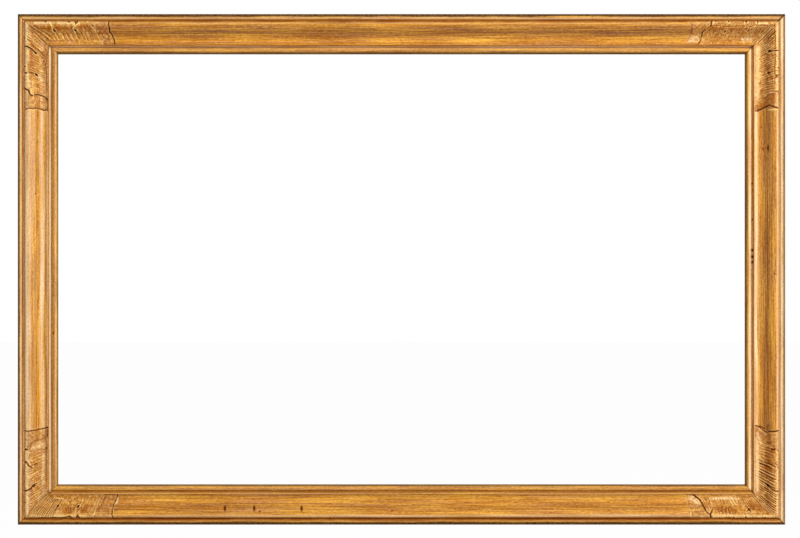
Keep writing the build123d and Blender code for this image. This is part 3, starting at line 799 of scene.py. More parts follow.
# Wear and painted light along each rail. The dirt, brown and pale lists are bands: place across, half width,
# strength. The dirt bands are darkened partly as painted shade, brown is painted shade with smears, strongest
# on the slopes turned from the lamp, and pale is painted highlight with gilding rubbed through.
# edge: width worn at the outer edge, strength. sight: place that the sight edge is worn from, strength.
wearAndShade = {
    "top": {
        "edge": (4.5, 1.0),
        "sight": (62.6, 0.7),
        "leafClean": 0.75,
        "soil": ((11.7, 2.4, 1.0), (52.2, 0.9, 1.1), (62.6, 1.0, 0.4)),
        "brown": ((4, 1.8, 0.4), (29, 11, 0.8), (48, 2.5, 0.25), (58, 1.8, 0.45), (61.5, 2, 0.4)),
        "pale": ((7.4, 1.6, 0.7), (15.8, 2.0, 0.2), (54.9, 2.0, 1.2)),
    },
    "bottom": {
        "edge": (4.9, 1.0),
        "sight": (64.0, 0.75),
        "leafClean": 0.75,
        "soil": ((9.4, 3.0, 1.2), (53.8, 1.2, 0.4), (56.6, 1.2, 0.3), (49.8, 1.4, 0.2)),
        "brown": ((31, 13, 0.3), (48.5, 3, 0.15), (62.6, 2, 0.5)),
        "pale": ((14.8, 2.6, 0.75), (51.6, 1.2, 0.4)),
    },
    "left": {
        "edge": (3.4, 0.8),
        "sight": (64.8, 0.65),
        "leafClean": 0.45,
        "soil": ((8.0, 1.1, 1.3), (57.2, 1.6, 0.25)),
        "brown": ((61.2, 2.8, 0.85),),
        "pale": (
            (5.0, 1.5, 1.1), (11.6, 2.0, 1.8), (27, 3.2, 0.35), (14.5, 3.2, 1.2), (19.5, 4.5, 0.9),
            (40, 4.6, 1.0), (50.0, 2.0, 1.0), (54.5, 2.4, 1.35), (63.2, 1.2, 0.5),
        ),
    },
    "right": {
        "edge": (4.4, 0.7),
        "sight": (62.6, 0.5),
        "leafClean": 0.75,
        "soil": ((8.8, 1.2, 0.45), (53.1, 1.1, 1.15), (61.6, 1.0, 0.3)),
        "brown": ((17.5, 2.5, 0.4), (31, 11, 0.65)),
        "pale": (
            (5.4, 3.4, 1.4), (9.4, 1.6, 0.8), (12.6, 2.0, 0.9), (48.6, 4.0, 1.1), (56.4, 2.0, 1.9),
            (59, 2.5, 1.2),
        ),
    },
}


def railColumns(length, places):
    # places along the rail, in millimetres, fine near both ends and at the marks in between
    reach = leaf["reach"]
    fine = np.arange(0, reach, railMesh["fineStep"])
    coarse = np.arange(reach, length - reach, railMesh["coarseStep"])
    extra = [place + np.arange(-4, 4.1, 1.0) for place in places if reach < place < length - reach]
    return np.unique(np.round(np.concatenate([fine, coarse, length - fine, *extra]), 3))


def wearAndShadeMasks(side, along, across, near, front, masks):
    # edges rubbed through, dirt and painted shade in the grooves and at the inner mitre, and bands of painted
    # shade (brown) and of painted highlight (pale) along the rail
    wornAndShaded, seed = wearAndShade[side], railPlan[side]["seed"]
    uneven = 0.7 * softNoise(along / 47, across / 40, seed + 5)
    uneven = uneven + 0.5 * softNoise(along / 9, across / 9, seed + 6)
    edgeWidth, edgeBold = wornAndShaded["edge"]
    sightFrom, sightBold = wornAndShaded["sight"]
    rim = edgeBold * fade(edgeWidth - 1, edgeWidth + 1, across + uneven)
    rim = np.maximum(rim, sightBold * smooth(sightFrom - 0.4, sightFrom + 1.6, across + 0.6 * uneven))
    masks["rim"] = np.maximum(rim, (1 - front) * np.where(across > 55, sightBold, 1))
    soil = np.exp(-(((near - across) / 4.5) ** 2) - ((across - 53) / 2.6) ** 2)  # darkest at the inner mitre
    # the grooves darkened with dirt and painted shade, placed rail by rail to the light
    for place, half, strength in wornAndShaded["soil"]:
        shift = 0.35 * uneven - 0.9 * masks["leafy"] * (place < 20)
        band = bell((across - place - shift) / (half - 0.4 * masks["leafy"]))
        soil = np.maximum(soil, strength * band * (0.9 + 0.45 * uneven))
    masks["soil"] = np.clip(soil, 0, 1) * front
    for name in ("brown", "pale"):
        for place, half, strength in wornAndShaded[name]:
            wander = 0.3 * half * softNoise(along / 110, 0 * along + place, seed + 8)
            far = np.abs(across - place - wander) / half
            strength = strength * (0.85 + 0.35 * softNoise(along / 75, 0 * along + place, seed + 9))
            strength = strength * (1 - wornAndShaded["leafClean"] * masks["leafy"] * (place > 17))
            masks[name] = np.maximum(masks[name], strength * fade(0.3, 1.25, far) * front)


def railSurface(side):
    length, seed = railPlan[side]["length"] / mm, railPlan[side]["seed"]
    section, span, gilded = sectionPoints()
    columns = railColumns(length, [mark[0] for mark in marks[side]])
    across = np.broadcast_to(section.real, (len(columns), len(section))).copy()
    height = np.broadcast_to(section.imag, across.shape).copy()
    front = np.zeros(len(section))
    front[slice(*gilded)] = 1
    fromEnd = np.minimum(columns, length - columns)[:, None]
    near = fromEnd + across * np.clip(1 - fromEnd / leaf["reach"], 0, 1)  # from the corner, along the edge
    names = ("ground", "stain", "line", "bright", "leafy", "brown", "pale")
    masks = {name: np.zeros(across.shape) for name in names}
    rows = (section.real >= span[0] - 0.3) & (section.real <= span[1] + 0.3) & (front > 0)
    beads = fade(6, 16, across) + 0.6 * smooth(49, 54, across)
    firstHalf = columns < length / 2
    for end, cols in (("start", firstHalf), ("end", ~firstHalf)):
        shape = {**leaf, **leaves[(side, end)], "half": (side, end)}
        cols = cols & (fromEnd[:, 0] < leaf["reach"])
        block = np.ix_(cols, rows)
        relief, carved = carve(near[block], across[block], shape, span)
        height[block] += relief
        for name, value in carved.items():
            masks[name][block] = value
        # worn arris and gap at the mitre
        opened = max(shape["mitreOpen"], 0.35) * beads + leaf["mitreOpen"]
        atMitre = np.exp(-fromEnd / (0.45 + 1.3 * opened)) * cols[:, None]
        near += np.minimum(opened, 0.8) * atMitre * 0.5 * front * fade(44, 52, across)
        height -= railMesh["mitreWorn"] * atMitre * front
        # dark along the mitre's gap: painted shade in the gap, with dirt
        masks["stain"] = np.maximum(masks["stain"], (0.6 + 0.3 * np.minimum(opened, 1)) * atMitre * front)
    along = np.where(firstHalf[:, None], near, length - near)

    outside = (section.real < 0.6) & (section.imag > 5) & (section.imag < 25)
    if side in ("left", "right"):
        for place in nails["fromEdge"]:
            far = np.hypot(near - place, height - nails["aboveBack"])
            across += nails["sunk"] * fade(nails["holeRadius"], nails["holeRadius"] + 0.5, far) * outside

    # the hand-run moulding wavers a little, and it has dents
    waver = softNoise(along / 61, across / 19, seed) + 0.5 * softNoise(along / 23, across / 8, seed + 1)
    height += railMesh["waver"] * waver * front * smooth(0, 12, near - across + 2)
    wearAndShadeMasks(side, along, across, near, front, masks)
    for at, place, halfLong, halfWide, depth in marks[side]:
        dent = np.exp(-(((along - at) / halfLong) ** 2 + ((across - place) / halfWide) ** 2)) * front
        height -= depth * dent * 0.5
        masks["stain"] = np.maximum(masks["stain"], dent)
    masks["flank"] = np.broadcast_to(outside, across.shape).astype(float)
    return along, across, height, masks, gilded[1]


def cavity(points, rounds):
    # how far each point lies behind the average of its neighbours, along the surface's normal
    normal = np.cross(np.gradient(points, axis=0), np.roll(points, -1, axis=1) - np.roll(points, 1, axis=1))
    normal /= np.maximum(np.linalg.norm(normal, axis=2, keepdims=True), 1e-12)
    blurred = points.copy()
    for _ in range(rounds):
        longer = np.concatenate([blurred[:1], blurred, blurred[-1:]])
        beside = 2 * blurred + longer[:-2] + longer[2:]
        blurred = (beside + np.roll(blurred, 1, axis=1) + np.roll(blurred, -1, axis=1)) / 6
    return np.einsum("ijk,ijk->ij", blurred - points, normal) / mm


def markSharp(mesh, section, ring, count):
    # keeps the section's own arrises crisp from end to end
    leaving = np.roll(section, -1, axis=0) - section
    arriving = section - np.roll(section, 1, axis=0)
    cosine = (leaving * arriving).sum(1) / np.linalg.norm(leaving, axis=1)
    cosine /= np.linalg.norm(arriving, axis=1)
    arris = cosine < math.cos(math.radians(38))
    ends = np.empty(2 * len(mesh.edges), int)
    mesh.edges.foreach_get("vertices", ends)
    rows, columns = ends.reshape(-1, 2) % ring, ends.reshape(-1, 2) // ring
    sharp = (rows[:, 0] == rows[:, 1]) & arris[rows[:, 0]]
    sharp |= (columns == 0).all(1) | (columns == count - 1).all(1)
    mesh.attributes.new("sharp_edge", "BOOLEAN", "EDGE").data.foreach_set("value", sharp)


def railPoints(side, along, across, height):
    plan = railPlan[side]
    out, run = np.array(plan["out"]), np.array(plan["along"])
    half = abs(out[0]) * outerWidth / 2 + abs(out[1]) * outerHeight / 2
    place = (along * mm - plan["length"] / 2)[..., None] * run + (half - across * mm)[..., None] * out
    return np.stack([place[..., 0], backY - height * mm, place[..., 1]], axis=-1)


def buildRail(side, gilt, wooden):
    along, across, height, masks, frontEnd = railSurface(side)
    points = railPoints(side, along, across, height)
    count, ring = along.shape
    index = np.arange(count * ring).reshape(count, ring)
    following = np.roll(index, -1, axis=1)
    quads = np.stack([index[:-1], index[1:], following[1:], following[:-1]], axis=-1).reshape(-1, 4)
    faces = [tuple(face) for face in quads.tolist()]
    faces += [tuple(index[0].tolist()), tuple(index[-1][::-1].tolist())]
    mesh = bpy.data.meshes.new(side + "Rail")
    mesh.from_pydata(points.reshape(-1, 3).tolist(), [], faces)
    mesh.update()

    masks.update({"hollow": cavity(points, 3), "recess": cavity(points, 24)})
    for name, value in masks.items():
        attribute = mesh.attributes.new(name, "FLOAT", "POINT")
        attribute.data.foreach_set("value", np.ascontiguousarray(value, np.float32).ravel())

    # map: metres along the rail, and metres round the section from its outer back arris
    stepRound = np.linalg.norm(np.diff(np.stack([across[0], height[0]], -1), axis=0), axis=1) * mm
    around = np.concatenate([[0], np.cumsum(stepRound)])
    loops = np.empty(len(mesh.loops), int)
    mesh.loops.foreach_get("vertex_index", loops)
    shift = 2.0 * list(railPlan).index(side)
    mapped = np.stack([along.ravel()[loops] * mm + shift, around[loops % ring]], -1)
    order = np.arange(len(loops))
    closing = (loops % ring == 0) & (order < 4 * len(quads)) & (order // 4 % ring == ring - 1)
    mapped[closing, 1] = around[-1] + np.linalg.norm(points[count // 2, 0] - points[count // 2, -1])
    mesh.uv_layers.new(name="railMap").data.foreach_set("uv", mapped.astype(np.float32).ravel())
    mesh.polygons.foreach_set("use_smooth", np.ones(len(mesh.polygons), bool))
    markSharp(mesh, points[count // 2], ring, count)
    row = np.arange(len(mesh.polygons)) % ring
    bare = (row >= frontEnd) | (row < 1)
    bare[-2:] = True
    mesh.polygons.foreach_set("material_index", bare.astype(np.int32))
    mesh.materials.append(gilt)
    mesh.materials.append(wooden)
    settle(addObject(side + "Rail", mesh), "gilded_wood", side + "_rail")
    print("rail", side, len(mesh.vertices), "points")


# Materials

def ranged(tree, value, low, high, toLow=0.0, toHigh=1.0):
    inputs = {"Value": value, "From Min": low, "From Max": high, "To Min": toLow, "To Max": toHigh}
    return outOf(tree, "ShaderNodeMapRange", inputs, interpolation_type="SMOOTHSTEP")


def mixed(tree, share, one, other):
    node = addNode(tree, "ShaderNodeMix", data_type="RGBA")
    feed(tree, node.inputs["Factor"], share)
    sockets = [socket for socket in node.inputs if socket.type == "RGBA"]
    for socket, color in zip(sockets, (one, other)):
        feed(tree, socket, (*color, 1) if isinstance(color, tuple) else color)
    return next(socket for socket in node.outputs if socket.type == "RGBA")


def bumped(tree, height, strength, distance):
    return outOf(tree, "ShaderNodeBump", {"Strength": strength, "Distance": distance, "Height": height})


def onObject(tree):
    return addNode(tree, "ShaderNodeTexCoord").outputs["Object"]


def alongRail(tree):
    return addNode(tree, "ShaderNodeUVMap", uv_map="railMap").outputs["UV"]


def alongKey(tree):
    # every key lies across its corner's mitre: alike in all four, once the signs are dropped
    positive = outOf(tree, "ShaderNodeVectorMath", {0: onObject(tree)}, operation="ABSOLUTE")
    return outOf(tree, "ShaderNodeMapping", {"Vector": positive, "Rotation": (0, math.radians(-45), 0)})


def streakGroup():
    # noise drawn out along a surface: Across is how many times finer it is across than along
    inputs = {"Map": "Vector", **dict.fromkeys(("Per Metre", "Across", "Detail", "Low", "High"), "Float")}
    tree, given, put = newGroup("streaks", inputs, {"Mask": "Float"})
    stretch = vectorOf(tree, 1.0, given["Across"], 1.0)
    scale = outOf(tree, "ShaderNodeVectorMath", {0: given["Map"], 1: stretch}, operation="MULTIPLY")
    inputs = {"Vector": scale, "Scale": given["Per Metre"], "Detail": given["Detail"]}
    noise = outOf(tree, "ShaderNodeTexNoise", inputs)
    feed(tree, put["Mask"], ranged(tree, noise, given["Low"], given["High"]))
    return tree


def streaks(tree, vector, perMetre, across, detail, low, high):
    names = ("Map", "Per Metre", "Across", "Detail", "Low", "High")
    inputs = dict(zip(names, (vector, perMetre, across, detail, low, high)))
    return outOf(tree, "ShaderNodeGroup", node_tree=streakTree, inputs=inputs)


gilding = {
    "gold": (0.52, 0.19, 0.013),
    "yellow": (0.78, 0.385, 0.05),
    "orange": (0.43, 0.135, 0.008),
    "rubbedAndHighlight": (0.95, 0.65, 0.25),
    "pale": (0.86, 0.615, 0.355),
    "straw": (0.80, 0.46, 0.10),
    "rose": (0.66, 0.31, 0.15),
    "clay": (0.29, 0.095, 0.022),
    "scuff": (0.17, 0.044, 0.004),
    "umber": (0.27, 0.118, 0.058),
    "russet": (0.30, 0.078, 0.003),
    "line": (0.19, 0.036, 0.001),
    "glint": (0.95, 0.47, 0.055),
    "grimeAndShadow": (0.11, 0.018, 0.001),
    "edge": (0.06, 0.023, 0.006),
    "ochre": (0.36, 0.19, 0.055),
    "metallic": 0.12,
    "specular": 0.02,
    "roughness": 0.45,
    "alongRail": {  # how many to a metre, how much finer across, detail, and the noise's low and high
        "patches": (7, 6, 3, 0.36, 0.64),
        "laps": (10, 42, 5, 0.45, 0.6),
        "fine": (26, 28, 4, 0.44, 0.62),
        "warm": (5, 20, 4, 0.45, 0.64),
        "blush": (6, 36, 4, 0.5, 0.66),
        "smears": (6, 30, 5, 0.4, 0.66),
        "grit": (110, 4, 3, 0.5, 0.6),
        "scratches": (6, 75, 4, 0.52, 0.6),
        "gleams": (7, 62, 3, 0.54, 0.62),
        "rubs": (9, 30, 5, 0.38, 0.64),
        "grains": (250, 2, 2, 0.4, 0.62),
        "glintSpecks": (170, 3, 2, 0.56, 0.64),
        "brushed": (60, 30, 3, 0.2, 0.8),
    },
    "anywhere": {
        "speckle": (300, 1, 3, 0.4, 0.62),
        "blotch": (130, 1, 4, 0.42, 0.6),
        "flush": (55, 1, 3, 0.5, 0.68),
        "sparkle": (240, 1, 3, 0.52, 0.66),
    },
}


def giltMaterial():
    g = gilding
    material, tree = newMaterial("wornGilding")
    railMap, place = alongRail(tree), onObject(tree)
    noise = {name: streaks(tree, railMap, *values) for name, values in g["alongRail"].items()}
    noise.update({name: streaks(tree, place, *values) for name, values in g["anywhere"].items()})
    names = "brown pale leafy hollow recess bright ground line stain soil rim flank".split()
    on = {name: addNode(tree, "ShaderNodeAttribute", attribute_name=name).outputs["Fac"] for name in names}

    def times(one, other):
        return combined(tree, "MULTIPLY", one, other, clamp=True)

    def plus(one, other):
        return combined(tree, "ADD", one, other, clamp=True)

    def lifted(value, rise, base):
        return plus(times(value, rise), base)

    def onLeaf(value):
        return times(on["leafy"], value)

    fine, speckle = noise["fine"], noise["speckle"]
    shadeSmears = times(on["brown"], lifted(noise["smears"], 0.9, 0.55))
    scratched = plus(noise["grit"], times(noise["scratches"], 1.2))
    leafBrown = times(lifted(on["brown"], 1.05, 0.2), ranged(tree, on["pale"], 0.2, 1.0, 1.0, 0.25))
    proud = times(ranged(tree, on["hollow"], -0.03, -0.14), lifted(speckle, 0.5, 0.35))
    # dirt and painted shade: brown where the surface lies deep, in the grooves and along the carved lines,
    # nearly black in the cuts
    deep, wide = ranged(tree, on["hollow"], 0.04, 0.26), ranged(tree, on["recess"], 0.2, 1.0)
    dirtAndShade = plus(times(deep, 0.4), times(wide, 0.25))
    dirtAndShade = plus(dirtAndShade, times(on["soil"], lifted(fine, 0.35, 0.75)))
    dirtAndShade = combined(tree, "MAXIMUM", dirtAndShade, times(on["line"], lifted(speckle, 0.3, 0.6)))
    layers = (  # what lies on the gold, from the bottom up, and how much of it
        ("orange", times(noise["warm"], 0.8)),
        ("clay", times(noise["laps"], 0.6)),
        ("rose", times(noise["blush"], 0.45)),
        ("straw", times(fine, ranged(tree, on["brown"], 0.0, 1.0, 0.42, 0.2))),
        # bands of painted shade with smears (brown) and of painted highlight with rubbed gilding (pale), and
        # the grain of both
        ("umber", times(shadeSmears, ranged(tree, on["leafy"], 0.0, 1.0, 1.0, 0.3))),
        ("scuff", times(scratched, lifted(on["brown"], 0.22, 0.32))),
        # painted glints in streaks
        ("glint", times(noise["gleams"], 0.4)),
        # pale bands: painted highlight, with gilding rubbed through
        ("pale", times(on["pale"], lifted(noise["rubs"], 0.7, 0.5))),
        ("scuff", times(noise["grains"], lifted(on["brown"], 0.06, 0.22))),
        # painted glints in specks
        ("glint", times(noise["glintSpecks"], 0.25)),
        # the leaf is mottled, rubbed pale where it stands proud, with painted shade and painted highlight laid
        # on it
        ("rose", onLeaf(times(noise["flush"], 0.3))),
        # russet where the painted shade of the brown bands lies on the leaf
        ("russet", onLeaf(times(leafBrown, lifted(speckle, 0.5, 0.6)))),
        ("rubbedAndHighlight", onLeaf(times(noise["blotch"], ranged(tree, on["brown"], 0.0, 0.8, 0.13, 0.04)))),
        ("russet", onLeaf(times(speckle, 0.42))),
        ("rubbedAndHighlight", onLeaf(times(noise["sparkle"], ranged(tree, on["brown"], 0.0, 0.8, 0.3, 0.12)))),
        # rubbed pale where the leaf stands proud, and painted highlight beside its cuts and rims
        ("rubbedAndHighlight", times(plus(times(proud, lifted(on["leafy"], 0.7, 0.3)), times(on["bright"], 0.8)), 0.75)),
        ("umber", times(on["ground"], times(speckle, 0.4))),
        ("line", times(dirtAndShade, 0.92)),
        # near black in the cuts, the eyes and the tip's shadow: grime and painted shade
        ("grimeAndShadow", ranged(tree, on["stain"], 0.15, 0.9)),
        # edges rubbed down, and the washed outer side
        ("edge", times(on["rim"], lifted(speckle, 0.2, 0.8))),
        ("ochre", times(on["flank"], ranged(tree, noise["patches"], 0.1, 0.9, 0.75, 0.35))),
    )
    color = mixed(tree, noise["patches"], g["gold"], g["yellow"])
    for name, share in layers:
        color = mixed(tree, share, color, g[name])
    rough = ranged(tree, noise["laps"], 0.0, 1.0, g["roughness"], g["roughness"] + 0.16)
    grain = outOf(tree, "ShaderNodeTexNoise", {"Scale": 900, "Detail": 3, "Vector": place})
    paint(tree, {
        "Base Color": color,
        "Specular IOR Level": g["specular"],
        "Metallic": ranged(tree, dirtAndShade, 0.0, 0.8, g["metallic"], 0.05),
        "Roughness": plus(rough, times(dirtAndShade, 0.3)),
        "Normal": bumped(tree, plus(times(grain, 0.5), times(noise["brushed"], 0.5)), 0.5, 0.0004),
    })
    return material


wood = {
    "early": (0.27, 0.165, 0.085),
    "late": (0.15, 0.082, 0.038),
    "pore": (0.07, 0.036, 0.018),
    "dust": (0.30, 0.26, 0.21),
    "roughness": 0.72,
    "rings": 9.0,
    "fibres": 70.0,
    "keyShade": 1.25,
    "keyRings": 30.0,
}


def grainGroup():
    # X runs with the grain
    inputs = {"Map": "Vector", "Rings": "Float", "Fibres": "Float"}
    tree, given, put = newGroup("woodGrain", inputs, {"Late": "Float", "Pores": "Float"})
    masks = ((16, "Rings", 0.4, 0.62, "Late"), (26, "Fibres", 0.55, 0.72, "Pores"))
    for across, source, low, high, out in masks:
        inputs = {0: given["Map"], 1: (1, across, across)}
        scale = outOf(tree, "ShaderNodeVectorMath", inputs, operation="MULTIPLY")
        noise = outOf(tree, "ShaderNodeTexNoise", {"Vector": scale, "Scale": given[source], "Detail": 4})
        feed(tree, put[out], ranged(tree, noise, low, high))
    return tree


def woodMaterial(called, mapOf, shade, rings):
    names = ("early", "late", "pore", "dust")
    early, late, pore, dusty = (tuple(shade * value for value in wood[name]) for name in names)
    material, tree = newMaterial(called)
    place = onObject(tree)

    def over(below, mask, strength, color):
        return mixed(tree, combined(tree, "MULTIPLY", mask, strength, clamp=True), below, color)

    inputs = {"Map": mapOf(tree), "Rings": rings, "Fibres": wood["fibres"]}
    grain = addNode(tree, "ShaderNodeGroup", node_tree=grainTree, inputs=inputs).outputs
    color = mixed(tree, grain["Late"], early, late)
    color = over(color, grain["Pores"], 0.7, pore)
    color = over(color, streaks(tree, place, 9, 1, 4, 0.5, 0.72), 0.45, late)
    color = over(color, streaks(tree, place, 26, 1, 5, 0.55, 0.78), 0.3, dusty)
    closed = combined(tree, "SUBTRACT", 1.0, grain["Pores"], clamp=True)
    relief = bumped(tree, closed, 0.6, 0.0003)
    paint(tree, {"Base Color": color, "Roughness": wood["roughness"], "Normal": relief})
    return material


metals = {
    "oldBrass": {
        "color": (0.50, 0.33, 0.115),
        "tarnish": (0.13, 0.075, 0.032),
        "metallic": 0.9,
        "roughness": 0.3,
        "cover": (0.42, 0.68),
    },
    "darkSteel": {
        "color": (0.27, 0.25, 0.235),
        "tarnish": (0.12, 0.055, 0.028),
        "metallic": 0.9,
        "roughness": 0.42,
        "cover": (0.48, 0.7),
    },
}


def metalMaterial(name):
    m = metals[name]
    material, tree = newMaterial(name)
    place = onObject(tree)
    broad = streaks(tree, place, 140, 1, 5, *m["cover"])
    fine = streaks(tree, place, 900, 1, 3, 0.5, 0.7)
    dull = combined(tree, "ADD", broad, combined(tree, "MULTIPLY", fine, 0.35, clamp=True), clamp=True)
    dull = combined(tree, "MULTIPLY", dull, 0.8, clamp=True)
    paint(tree, {
        "Base Color": mixed(tree, dull, m["color"], m["tarnish"]),
        "Metallic": ranged(tree, dull, 0, 1, m["metallic"], 0.35 * m["metallic"]),
        "Roughness": ranged(tree, dull, 0, 1, m["roughness"], m["roughness"] + 0.35),
        "Normal": bumped(tree, fine, 0.35, 0.0001),
    })
    return material


def glueMaterial():
    material, tree = newMaterial("oldGlue")
    patchy = streaks(tree, onObject(tree), 260, 1, 3, 0.4, 0.65)
    color = mixed(tree, patchy, (0.10, 0.045, 0.014), (0.19, 0.10, 0.038))
    paint(tree, {"Base Color": color, "Roughness": ranged(tree, patchy, 0, 1, 0.3, 0.6)})
    return material


def feltMaterial():
    material, tree = newMaterial("greyFelt")
    matted = streaks(tree, onObject(tree), 700, 1, 5, 0.35, 0.65)
    color = mixed(tree, matted, (0.085, 0.082, 0.075), (0.19, 0.185, 0.17))
    relief = bumped(tree, matted, 0.8, 0.0004)
    paint(tree, {"Base Color": color, "Roughness": 0.95, "Sheen Weight": 0.4, "Normal": relief})
    return material


# Fasteners: Geometry Nodes put one on each point of a small mesh

screws = {  # millimetres
    "sizes": {
        "Head Radius": 3.4, "Head Height": 2.0, "Slot Width": 0.8, "Slot Depth": 0.85,
        "Shank Radius": 1.6, "Shank Length": 15.0,
    },
    "doming": 0.72,
    "belowPivot": (27.0, 41.0),  # the strap's screws
}


def geometryTree(name, sizes):
    inputs = {"Points": "Geometry", **{label: "Float" for label in sizes}, "Seed": "Int", "Finish": "Material"}
    tree, given, put = newGroup(name, inputs, {"Fasteners": "Geometry"}, "GeometryNodeTree")
    for label in sizes:
        tree.interface.items_tree[label].subtype = "DISTANCE"
    return tree, given, put


def treeCylinder(tree, radius, depth, sides, top):
    # a cylinder whose upper end is at height top
    inputs = {"Vertices": sides, "Fill Segments": 6, "Radius": radius, "Depth": depth}
    cylinder = outOf(tree, "GeometryNodeMeshCylinder", inputs)
    middle = combined(tree, "ADD", combined(tree, "MULTIPLY", depth, -0.5), top)
    inputs = {"Geometry": cylinder, "Translation": vectorOf(tree, z=middle)}
    return outOf(tree, "GeometryNodeTransform", inputs)


def finishTree(tree, given, put, parts, facing):
    # the parts go on each point at a chance turn, smooth but for their steep edges, and become real meshes
    join = addNode(tree, "GeometryNodeJoinGeometry")
    for part in parts:
        tree.links.new(part, join.inputs[0])
    angle = outOf(tree, "GeometryNodeInputMeshEdgeAngle")  # unsigned
    steep = outOf(tree, "FunctionNodeCompare", {"A": angle, "B": 0.6})
    inputs = {"Geometry": join.outputs[0], "Selection": steep, "Shade Smooth": False}
    shaded = outOf(tree, "GeometryNodeSetShadeSmooth", inputs, domain="EDGE")
    inputs = {"Points": given["Points"], "Instance": shaded, "Rotation": facing}
    placed = outOf(tree, "GeometryNodeInstanceOnPoints", inputs)
    chance = addNode(tree, "FunctionNodeRandomValue", {3: math.tau, "Seed": given["Seed"]}).outputs[1]
    inputs = {"Instances": placed, "Rotation": vectorOf(tree, z=chance)}
    turned = outOf(tree, "GeometryNodeRotateInstances", inputs)
    real = outOf(tree, "GeometryNodeRealizeInstances", {0: turned})
    inputs = {"Geometry": real, "Material": given["Finish"]}
    feed(tree, put[0], outOf(tree, "GeometryNodeSetMaterial", inputs))


def screwTree():
    tree, given, put = geometryTree("slottedScrew", screws["sizes"])
    radius, height = given["Head Radius"], given["Head Height"]
    # a dome: the rim comes down to the plate
    position = outOf(tree, "GeometryNodeInputPosition")
    x, y, z = addNode(tree, "ShaderNodeSeparateXYZ", {0: position}).outputs
    square = combined(tree, "MULTIPLY_ADD", y, y, combined(tree, "MULTIPLY", x, x))
    share = combined(tree, "DIVIDE", square, combined(tree, "MULTIPLY", radius, radius))
    kept = combined(tree, "SUBTRACT", 1.0, combined(tree, "MULTIPLY", share, screws["doming"]))
    domed = vectorOf(tree, x, y, combined(tree, "MULTIPLY", z, kept))
    inputs = {"Geometry": treeCylinder(tree, radius, height, 40, height), "Position": domed}
    head = outOf(tree, "GeometryNodeSetPosition", inputs)
    long = combined(tree, "MULTIPLY", radius, 2.4)
    deep = combined(tree, "MULTIPLY", given["Slot Depth"], 2.0)
    slotBox = addNode(tree, "GeometryNodeMeshCube", {"Size": vectorOf(tree, long, given["Slot Width"], deep)})
    inputs = {"Geometry": slotBox.outputs["Mesh"], "Translation": vectorOf(tree, z=height)}
    inputs = {"Mesh 1": head, "Mesh 2": outOf(tree, "GeometryNodeTransform", inputs)}
    cut = addNode(tree, "GeometryNodeMeshBoolean", inputs, operation="DIFFERENCE")
    shank = treeCylinder(tree, given["Shank Radius"], given["Shank Length"], 16, 0.0)
    facing = vectorOf(tree, x=-math.pi / 2)  # heads towards the back
    finishTree(tree, given, put, (cut.outputs["Mesh"], shank), facing)
    return tree


def nailTree():
    tree, given, put = geometryTree("mitreNail", nails["sizes"])
    head = treeCylinder(tree, given["Head Radius"], given["Head Thickness"], 24, 0.0)
    shank = treeCylinder(tree, given["Shank Radius"], given["Shank Length"], 12, -0.0002)
    position = outOf(tree, "GeometryNodeInputPosition")
    side = combined(tree, "SIGN", outOf(tree, "ShaderNodeSeparateXYZ", {0: position}))
    facing = vectorOf(tree, y=combined(tree, "MULTIPLY", side, math.pi / 2))
    finishTree(tree, given, put, (head, shank), facing)
    return tree


def placeFasteners(name, tree, points, sizes, seed, finish, nodeName):
    mesh = bpy.data.meshes.new(name + "Points")
    mesh.from_pydata(points, [], [])
    piece = addObject(name, mesh)
    modifier = piece.modifiers.new("fasteners", "NODES")
    modifier.node_group = tree
    sockets = {item.name: item.identifier for item in tree.interface.items_tree if item.in_out == "INPUT"}
    for label, value in sizes.items():
        modifier[sockets[label]] = value * mm
    modifier[sockets["Seed"]] = seed
    modifier[sockets["Finish"]] = finish
    depsgraph = bpy.context.evaluated_depsgraph_get()
    made = bpy.data.meshes.new_from_object(piece.evaluated_get(depsgraph))
    piece.modifiers.remove(modifier)
    piece.data = made
    settle(piece, "steel", nodeName)
    print("fasteners", name, len(made.polygons), "faces")


def jointPlace(name):
    return next(j["pos_m"] for j in frame["record"]["behaviour"]["joints"] if j["name"] == name)


def makeFasteners(finish):
    screwNodes, nailNodes = screwTree(), nailTree()
    sizes, drops = screws["sizes"], screws["belowPivot"]
    buttons = [name for name in frame["nodes"] if name.startswith("turn_button_")]
    buttons.remove("turn_button_screws")
    pivots = [jointPlace(name + "_swivel") for name in sorted(buttons)]
    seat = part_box("turn_button_screws")[1][1] - sizes["Head Height"] * mm
    points = [(x, seat, z) for x, _, z in pivots]
    placeFasteners("buttonScrews", screwNodes, points, sizes, 3, finish, "turn_button_screws")
    pivots = [jointPlace("hanger_ring_" + side + "_swing") for side in ("left", "right")]
    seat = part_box("hanger_screws")[1][1] - sizes["Head Height"] * mm
    points = [(x, seat, z - drop * mm) for x, _, z in pivots for drop in drops]
    placeFasteners("hangerScrews", screwNodes, points, sizes, 8, finish, "hanger_screws")
    x, y = outerWidth / 2 - nails["headDepth"] * mm, backY - nails["aboveBack"] * mm
    rows = [outerHeight / 2 - place * mm for place in nails["fromEdge"]]
    points = [(right * x, y, up * z) for right in (-1, 1) for up in (-1, 1) for z in rows]
    placeFasteners("mitreNails", nailNodes, points, nails["sizes"], 1, finish, "mitre_nails")


# Corner keys, let into the back and planed nearly flush, with old glue round them

keys = {"proud": 0.45, "bevel": 0.4, "depth": 7.0, "glueWidth": 1.3, "glueHeight": 0.28, "step": 2.0}


def ringOf(corners, step):
    points = []
    for a, b in zip(corners, np.roll(corners, -1, axis=0)):
        count = max(int(np.linalg.norm(b - a) / step), 1)
        points += [a + (b - a) * i / count for i in range(count)]
    return np.array(points)


